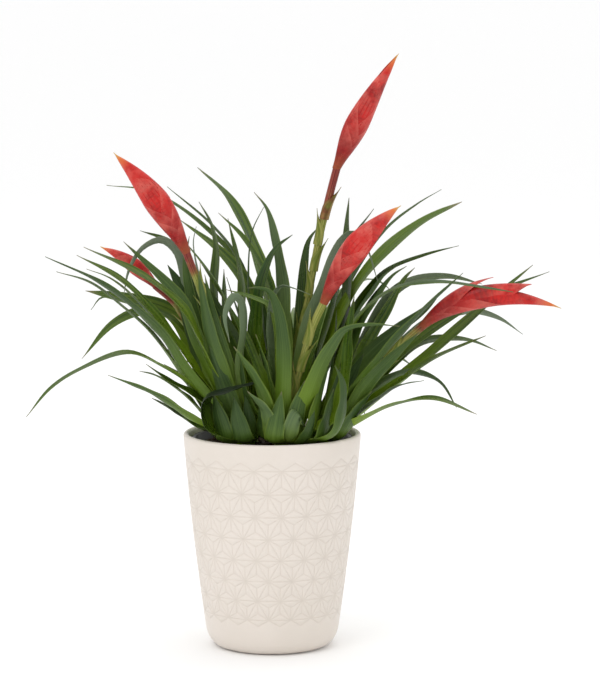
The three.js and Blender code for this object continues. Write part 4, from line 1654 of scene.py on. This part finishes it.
class Blade:
    """One leaf of a rosette."""

    def __init__(self, crown: Crown, plan: LeafPlan, key: str) -> None:
        """Lay out the blade's cross-sections.

        Args:
            crown: the crown that it springs from.
            plan: its width, roll and points.
            key: a name that its own small differences are drawn from.
        """
        draw = random.Random(key)
        self.tint = draw.random()
        self.phase = draw.uniform(0, math.tau)
        self.waves = draw.uniform(2.5, 4.5)
        self.bloom = plan.bloom
        path = [VIEW.place(point) for point in plan.points]
        heading = path[0] - crown.foot
        heading = (heading - crown.lean * heading.dot(crown.lean)).normalized()
        root = crown.foot + BLADE.root_rise * crown.lean + BLADE.root_radius * heading
        outward = Vector((heading.x, heading.y, 0)).normalized()
        side = Vector((0, 0, 1)).cross(outward)
        self.sections = []
        for station in Midline([root, *path]).stations(BLADE.rows, side):
            share = station.share
            turn = math.radians(plan.roll) * smooth_step(share, 0, BLADE.roll_end)
            across = station.side * math.cos(turn) + station.face * math.sin(turn)
            upper = station.face * math.cos(turn) - station.side * math.sin(turn)
            half = BLADE.half_width(plan.width * MM, share, plan.taper)
            channel = blend(BLADE.channel, BLADE.flat_channel, min(1, 2 * share))
            self.sections.append((station.point, across, upper, half, 2 * half * channel, share))

    def at(self, x: float, y: float, z: float) -> Vector:
        """Place a point of the sheet pattern on the blade.

        Args:
            x: across the blade, -1 to 1.
            y: along it, 0 to 1.
            z: through it, -0.5 to 0.5.

        Returns:
            The place.
        """
        point, across, upper, half, lift, share = self.sections[round(y * BLADE.rows)]
        edge = abs(x)
        thick = BLADE.rib * blend(1, BLADE.tip_share, share) * blend(1, BLADE.edge_share, edge**2)
        ripple = math.sin(math.tau * self.waves * share + self.phase) * x
        wave = BLADE.ripple * 2 * half * ripple * edge * smooth_step(share, 0.15, 0.5)
        return point + across * (half * x) + upper * (lift * edge**1.6 + wave + z * thick)

    def build(self, pattern: bpy.types.Object) -> bpy.types.Object:
        """Model the leaf and paint what its finish reads.

        Args:
            pattern: the flat sheet that it is shaped from.

        Returns:
            The leaf.
        """
        made = shaped_copy(pattern, "leaf", self.at)
        flat = [vertex.co for vertex in pattern.data.vertices]
        paint_grain(made, [(co.x, 0, co.y) for co in flat])
        paint(made, "underside", [1.0 if co.z < 0 else 0.0 for co in flat])
        paint(made, "tint", [self.tint] * len(flat))
        paint(made, "bloom", [self.bloom] * len(flat))
        return made


@dataclass(frozen=True)
class BractForm:
    """The form that all bracts share."""

    columns: int = 16
    rows: int = 22
    thickness: float = 0.7 * MM
    tip_share: float = 0.6  # thickness at the tip, as a share of that at the foot
    keel: float = 0.35 * MM  # how far the keel stands out at the foot


BRACT = BractForm()


class WrappedBract:
    """A boat-shaped bract that clasps a curve, its keel on one side and its edges on the other."""

    def __init__(
        self,
        curve: Midline,
        span: Span,
        keel_side: Callable[[Vector], Vector],
        form: Callable[[float, float], tuple[float, float, float, float]],
    ) -> None:
        """Lay out the bract's cross-sections.

        Args:
            curve: the axis that it clasps.
            span: the shares of the curve where it starts and ends.
            keel_side: gives the direction of the keel for a direction of the axis.
            form: gives, for a share of the curve and of the bract, its reach to the keel, its
                reach to the face, how far round its edges come in degrees, and its lean outwards.
        """
        self.sections = []
        for i in range(BRACT.rows + 1):
            share = i / BRACT.rows
            along = blend(*span, share)
            tangent = curve.tangent(along)
            side = keel_side(tangent)
            depth = tangent.cross(side).normalized()
            self.sections.append((curve.point(along), side, depth, *form(along, share), share))

    def at(self, x: float, y: float, z: float) -> Vector:
        """Place a point of the sheet pattern on the bract.

        Args:
            x: round the bract, -1 to 1, with its keel at 0.
            y: along it, 0 to 1.
            z: through it, -0.5 to 0.5.

        Returns:
            The place.
        """
        row = self.sections[round(y * BRACT.rows)]
        point, side, depth, keel, face, round_by, lean, share = row
        angle = math.radians(round_by) * x
        through = -z * BRACT.thickness * blend(1, BRACT.tip_share, share)
        pinch = BRACT.keel * (1 - abs(x)) ** 6 * (1 - share)
        out = (keel + through + pinch) * math.cos(angle) + lean
        return point + side * out + depth * ((face + through) * math.sin(angle))

    def build(self, pattern: bpy.types.Object) -> bpy.types.Object:
        """Model the bract and paint its grain.

        Args:
            pattern: the flat sheet that it is shaped from.

        Returns:
            The bract.
        """
        made = shaped_copy(pattern, "bract", self.at)
        paint_grain(made, [(v.co.x, 0, v.co.y) for v in pattern.data.vertices])
        return made


@dataclass(frozen=True)
class FlowerStem:
    """A round stem with pointed bracts that clasp it in turn on either side."""

    radius: float = 2.1 * MM
    top_radius: float = 2.9 * MM
    root_height: float = 14 * MM
    sides: int = 16
    rows: int = 36
    spacing: float = 32 * MM
    lowest: float = 0.32
    highest: float = 0.94
    bract_length: float = 17 * MM
    bract_sheath: float = 9 * MM  # how far down it clasps the stem
    bract_lean: float = 3.5 * MM
    bract_gap: float = 0.35 * MM  # between the stem's skin and the bract's middle
    wrap: Span = (160, 4)  # degrees that a bract's edges come round at its foot and its tip
    tip_flush: float = 0.35  # how red a bract's tip is at least

    def curve(self, crown: Crown, plan: RosettePlan) -> Midline:
        """Lay the stem's axis from inside its crown to its head.

        Args:
            crown: the crown.
            plan: the rosette.

        Returns:
            The axis.
        """
        root = crown.foot + self.root_height * crown.lean
        return Midline([root, *(VIEW.place(point) for point in plan.stem)])

    def girth(self, share: float) -> float:
        """Find the stem's radius at a share of its length."""
        return blend(self.radius, self.top_radius, share)

    def build(
        self, crown: Crown, plan: RosettePlan, pattern: bpy.types.Object
    ) -> bpy.types.Object:
        """Model the stem with its bracts.

        Args:
            crown: the crown that it stands in.
            plan: the rosette.
            pattern: the flat sheet that bracts are shaped from.

        Returns:
            The stem.
        """
        curve = self.curve(crown, plan)
        pieces = [self._rod(curve, plan.flush)]
        count = max(3, round(curve.length / self.spacing))
        for i in range(count):
            share = self.lowest + (self.highest - self.lowest) * i / count
            pieces.append(self._bract(curve, share, 1 if i % 2 else -1, plan.flush, pattern))
        return joined(pieces, f"{plan.name}_stem_dressed")

    def _rod(self, curve: Midline, flush: Span) -> bpy.types.Object:
        """Model the bare stem.

        Args:
            curve: its axis.
            flush: where on it red begins and where it is full.

        Returns:
            The rod.
        """
        form = {"radius": 1, "depth": 1, "end_fill_type": "TRIFAN", "calc_uvs": False}
        cylinder = bpy.ops.mesh.primitive_cylinder_add
        rod = added(cylinder, "stem rod", vertices=self.sides, **form)
        with editing(rod, "DESELECT"):
            bpy.ops.mesh.select_mode(type="EDGE")
        for edge in rod.data.edges:
            low, high = (rod.data.vertices[i].co for i in edge.vertices)
            edge.select = abs(low.z - high.z) > 0.5 and low.xy.length > 0.5 < high.xy.length
        bpy.ops.object.mode_set(mode="EDIT")
        bpy.ops.mesh.subdivide_edgering(number_cuts=self.rows - 1, interpolation="LINEAR")
        bpy.ops.object.mode_set(mode="OBJECT")
        stations = curve.stations(self.rows, Vector((0, 1, 0)))
        grain, red = [], []
        for vertex in rod.data.vertices:
            x, y, z = vertex.co
            station = stations[round((z + 0.5) * self.rows)]
            radius = self.girth(station.share)
            vertex.co = station.point + radius * (station.side * x + station.face * y)
            grain.append((x, y, station.share * 2))
            red.append(smooth_step(station.share, *flush))
        paint_grain(rod, grain)
        paint(rod, "flush", red)
        face_outwards(rod, 50)
        return rod

    def _bract(
        self,
        curve: Midline,
        share: float,
        hand: int,
        flush: Span,
        pattern: bpy.types.Object,
    ) -> bpy.types.Object:
        """Model one bract of the stem.

        Args:
            curve: the stem's axis.
            share: where on it the bract springs.
            hand: 1 or -1, the side that it is on.
            flush: where on the stem red begins and where it is full.
            pattern: the flat sheet that it is shaped from.

        Returns:
            The bract.
        """
        start = share - self.bract_sheath / curve.length
        end = min(1, share + self.bract_length / curve.length)

        def keel_side(tangent: Vector) -> Vector:
            """Point the keel out to the bract's own side."""
            return Vector((0, hand, 0)).cross(tangent).normalized()

        def form(along: float, part: float) -> tuple[float, float, float, float]:
            """Clasp the stem at the foot, and draw to a leaning point.

            Args:
                along: the share of the stem's length.
                part: the share of the bract's.

            Returns:
                What a bract's form gives.
            """
            girth = self.girth(along) + self.bract_gap
            round_by = blend(*self.wrap, smooth_step(part, 0.3, 1))
            return girth, girth, round_by, self.bract_lean * part**2.6

        made = WrappedBract(curve, (start, end), keel_side, form).build(pattern)
        red = smooth_step(share, *flush)
        parts = [vertex.co.y for vertex in pattern.data.vertices]
        tips = [self.tip_flush * smooth_step(part, 0.5, 1) for part in parts]
        paint(made, "flush", [max(red, tip) for tip in tips])
        return made


@dataclass(frozen=True)
class FlowerHead:
    """Two ranks of keeled bracts up a flattened axis, each starting inside the one below."""

    count: int = 7
    first_end: float = 0.3  # where the lowest bract's tip is
    reach: float = 0.56
    depth: float = 0.62  # its thickness, as a share of its width
    foot: float = 0.27  # its width where it starts, as a share of the greatest
    rind: float = 0.55 * MM  # what the bracts' thickness adds to its half width
    sleeve: float = 2.5 * MM  # how far down the stem its lowest bracts clasp
    loose: tuple[int, ...] = (3, 5)  # bracts that stand off, on a head that has a flare
    least: float = 0.2 * MM  # half width at the tip
    skin: float = 0.2 * MM  # how far the topmost bract lies off the axis's form
    nesting: float = 0.07 * MM  # how much further each lower one lies
    stand_off: float = 0.4 * MM  # of a low bract's tip
    least_depth: float = 2.3 * MM
    wrap: Span = (168, 3)  # degrees that a bract's edges come round at its foot and its tip

    def outline(self, share: float, peak: float) -> float:
        """Find the head's half width at a share of its length.

        Args:
            share: the share of its length.
            peak: the share where it is widest.

        Returns:
            The half width, as a share of its greatest.
        """
        if share < peak:
            swell = math.sin(math.pi / 2 * max(share, 0) / peak) ** 1.3
            return blend(self.foot, 1, swell)
        return 1 - ((share - peak) / (1 - peak)) ** 1.4

    def build(self, plan: RosettePlan, pattern: bpy.types.Object) -> bpy.types.Object:
        """Model the head.

        Args:
            plan: the rosette.
            pattern: the flat sheet that bracts are shaped from.

        Returns:
            The head.
        """
        head = plan.head
        start, middle, end = (VIEW.place(point) for point in head.points)
        rising = (2 * middle - (start + end) / 2 - start).normalized()
        curve = Midline([start - self.sleeve * rising, middle, end])
        bracts = [self._bract(curve, head, i, pattern) for i in range(self.count)]
        return joined(bracts, f"{plan.name}_head_dressed")

    def _bract(
        self, curve: Midline, head: HeadPlan, index: int, pattern: bpy.types.Object
    ) -> bpy.types.Object:
        """Model one bract of the head.

        Args:
            curve: the head's axis.
            head: the head's plan.
            index: its place in the head, from the lowest.
            pattern: the flat sheet that it is shaped from.

        Returns:
            The bract.
        """
        tip = 1 - (1 - self.first_end) * (1 - index / (self.count - 1)) ** 0.65
        span = (max(0, tip - self.reach), tip)
        hand = 1 if index % 2 else -1
        turn = math.radians(head.facing)
        front = Vector((math.sin(turn), -math.cos(turn), 0))
        half = head.width * MM / 2
        flare = head.flare * MM if index in self.loose else 0
        nesting = self.nesting * (self.count - 1 - index)
        closing = 1.5 + 5 * max(0, index - self.count + 3) ** 2  # the beak's stay shut

        def keel_side(tangent: Vector) -> Vector:
            """Point the keel out to the bract's own rank."""
            return hand * front.cross(tangent).normalized()

        def form(along: float, part: float) -> tuple[float, float, float, float]:
            """Wrap the head at the foot, and draw to a keeled point at its edge.

            Args:
                along: the share of the head's length.
                part: the share of the bract's.

            Returns:
                What a bract's form gives.
            """
            girth = max(self.least, half * self.outline(along, head.peak) - self.rind)
            skin = self.skin + nesting * (1 - part) + self.stand_off * part**2 * (1 - along)
            depth = max(self.depth * girth, min(girth, self.least_depth)) + skin
            return girth + skin, depth, blend(*self.wrap, part**closing), flare * part**2

        made = WrappedBract(curve, span, keel_side, form).build(pattern)
        paint(made, "climb", [blend(*span, vertex.co.y) for vertex in pattern.data.vertices])
        return made


class Rosette:
    """One plant: its crown, leaves, flower stem and flower head."""

    def __init__(self, plan: RosettePlan, soil: SoilBed) -> None:
        """Stand the rosette in the soil.

        Args:
            plan: the rosette's plan.
            soil: the soil that it stands in.
        """
        self.plan = plan
        self.soil = soil
        x, y = (MM * value for value in plan.crown)
        foot = Vector((x, y, soil.top(math.hypot(x, y))))
        self.crown = Crown(foot, (VIEW.place(plan.stem[0]) - foot).normalized())

    def back_leaves(self) -> list[LeafPlan]:
        """Work out the leaves that arch away behind the rosette.

        Returns:
            Their plans.
        """
        back = self.plan.back
        if back is None:
            return []
        foot = Vector((*self.plan.crown, self.soil.level / MM))
        plans = []
        for i in range(back.count):
            spread = abs(math.sin((i + 1) * 12.9898 + foot.x) * 43758.5453) % 1  # a seeded share
            angle = math.radians(blend(back.start, back.end, (i + 0.5) / back.count))
            length = back.reach * blend(*back.reach_shares, spread)
            height = back.rise * blend(*back.rise_shares, spread)
            away = length * Vector((math.cos(angle), math.sin(angle), 0))
            top = foot + away / 2 + Vector((0, 0, height))
            tip = foot + away + Vector((0, 0, height * blend(*back.tip_shares, spread)))
            width = blend(*back.widths, spread)
            plans.append(leaf(width, 0, VIEW.point(top * MM), VIEW.point(tip * MM)))
        return plans

    def build_leaves(self, pattern: bpy.types.Object) -> bpy.types.Object:
        """Model the leaves on their crown.

        Args:
            pattern: the flat sheet that leaves are shaped from.

        Returns:
            The leaves.
        """
        crown = self.crown.build("crown")
        size = len(crown.data.vertices)
        paint_grain(crown, [(0.5, 0, 0)] * size)
        paint(crown, "underside", [0.0] * size)
        paint(crown, "tint", [0.4] * size)
        name = self.plan.name
        pieces = [crown]
        for i, plan in enumerate([*self.plan.leaves, *self.back_leaves()]):
            pieces.append(Blade(self.crown, plan, f"{name} {i}").build(pattern))
        whole = joined(pieces, f"{name}_leaves_dressed")
        bpy.ops.object.shade_smooth_by_angle(angle=math.radians(BLADE.smooth_angle))
        return whole


# ---- Studio -------------------------------------------------------------------------------


def aimed(data: bpy.types.ID, place: Vector, target: Vector) -> bpy.types.Object:
    """Put a lamp or a camera in the scene.

    Args:
        data: the lamp or the camera.
        place: where it is.
        target: the point that it looks at.

    Returns:
        Its object.
    """
    held = bpy.data.objects.new(data.name, data)
    held.location = place
    held.rotation_euler = (target - place).to_track_quat("-Z", "Y").to_euler()
    bpy.context.scene.collection.objects.link(held)
    return held


@dataclass(frozen=True)
class Lamp:
    """A soft square lamp that shines at the plant."""

    name: str
    place: Vector
    size: float
    power: float
    target_height: float = 220 * MM

    def build(self) -> None:
        """Hang the lamp."""
        light = bpy.data.lights.new(self.name, "AREA")
        light.size = self.size
        light.energy = self.power
        aimed(light, self.place, Vector((0, 0, self.target_height)))


@dataclass(frozen=True)
class Studio:
    """A pale floor, soft light all round and the camera."""

    floor_size: float = 80.0
    camera_place: Vector = field(default_factory=lambda: Vector((0.0204, -2.37, 0.525)))
    aim: Vector = field(default_factory=lambda: Vector((0.0204, 0, 0.2185)))
    lens: float = 168.3
    lamps: tuple[Lamp, ...] = (
        Lamp("key", Vector((-1.0, -1.5, 1.9)), 1.2, 9),
        Lamp("top", Vector((0.3, 0.5, 1.9)), 1.2, 7),
    )

    def build(self) -> None:
        """Set up the floor, the lights and the camera."""
        self._floor()
        self._world()
        for lamp in self.lamps:
            lamp.build()
        camera = bpy.data.cameras.new("camera")
        camera.lens = self.lens
        camera.clip_end = 200
        bpy.context.scene.camera = aimed(camera, self.camera_place, self.aim)
        bpy.context.scene.view_settings.view_transform = "Standard"

    def _floor(self) -> None:
        """Lay the plain pale floor."""
        floor = added(bpy.ops.mesh.primitive_plane_add, "floor", size=self.floor_size)
        paper = bpy.data.materials.new("white paper")
        paper.use_nodes = True
        shader = paper.node_tree.nodes["Principled BSDF"]
        shader.inputs["Base Color"].default_value = tone(254, 254, 254)
        shader.inputs["Roughness"].default_value = 0.8
        floor.data.materials.append(paper)

    def _world(self) -> None:
        """Light the scene softly from all round."""
        world = bpy.data.worlds.new("studio")
        world.use_nodes = True
        sky = world.node_tree.nodes["Background"]
        sky.inputs["Color"].default_value = (1, 1, 1, 1)
        sky.inputs["Strength"].default_value = 1.0
        bpy.context.scene.world = world


# ---- Assembly -----------------------------------------------------------------------------


def dress(piece: bpy.types.Object, node: str, slot: Slot, finish: Finish) -> None:
    """Give a piece its finish, and set it in the place of its node.

    Args:
        piece: the finished piece.
        node: the node that it stands for.
        slot: not used.
        finish: the finish.
    """
    piece.data.materials.clear()
    piece.data.materials.append(finish.material)
    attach(piece, BODY)
    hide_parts(node)
    LOG.info("%s: %d faces", piece.name, len(piece.data.polygons))


def main() -> None:
    """Build every piece, dress it and set up the studio."""
    logging.basicConfig(level=logging.INFO, format="%(message)s")
    effects = SharedEffects()
    leaf_finish = LeafFinish(effects)
    bract_finish = BractFinish(effects)
    stem_finish = StemFinish(effects)

    dress(CoverPot().build(), "cover_pot", Slot.GLAZE, GlazeFinish(effects))
    grower_pot = GrowerPot()
    dress(grower_pot.build(), "grower_pot", Slot.PLASTIC, PlasticFinish(effects))
    soil = SoilBed(grower_pot)
    rosettes = [Rosette(plan, soil) for plan in ROSETTES]
    bed = soil.build([rosette.crown for rosette in rosettes])
    dress(bed, "soil", Slot.SOIL, PeatFinish(effects))

    blade_pattern = SheetPattern(BLADE.columns, BLADE.rows).build("blade pattern")
    bract_pattern = SheetPattern(BRACT.columns, BRACT.rows).build("bract pattern")
    for rosette in rosettes:
        plan, crown = rosette.plan, rosette.crown
        leaves = rosette.build_leaves(blade_pattern)
        dress(leaves, f"{plan.name}_leaves", Slot.LEAF, leaf_finish)
        stem = FlowerStem().build(crown, plan, bract_pattern)
        dress(stem, f"{plan.name}_flower_stem", Slot.STEM, stem_finish)
        head = FlowerHead().build(plan, bract_pattern)
        dress(head, f"{plan.name}_flower_head", Slot.BRACT, bract_finish)
    for pattern in (blade_pattern, bract_pattern):
        bpy.data.objects.remove(pattern)

    Studio().build()


if __name__ == "__main__":
    main()
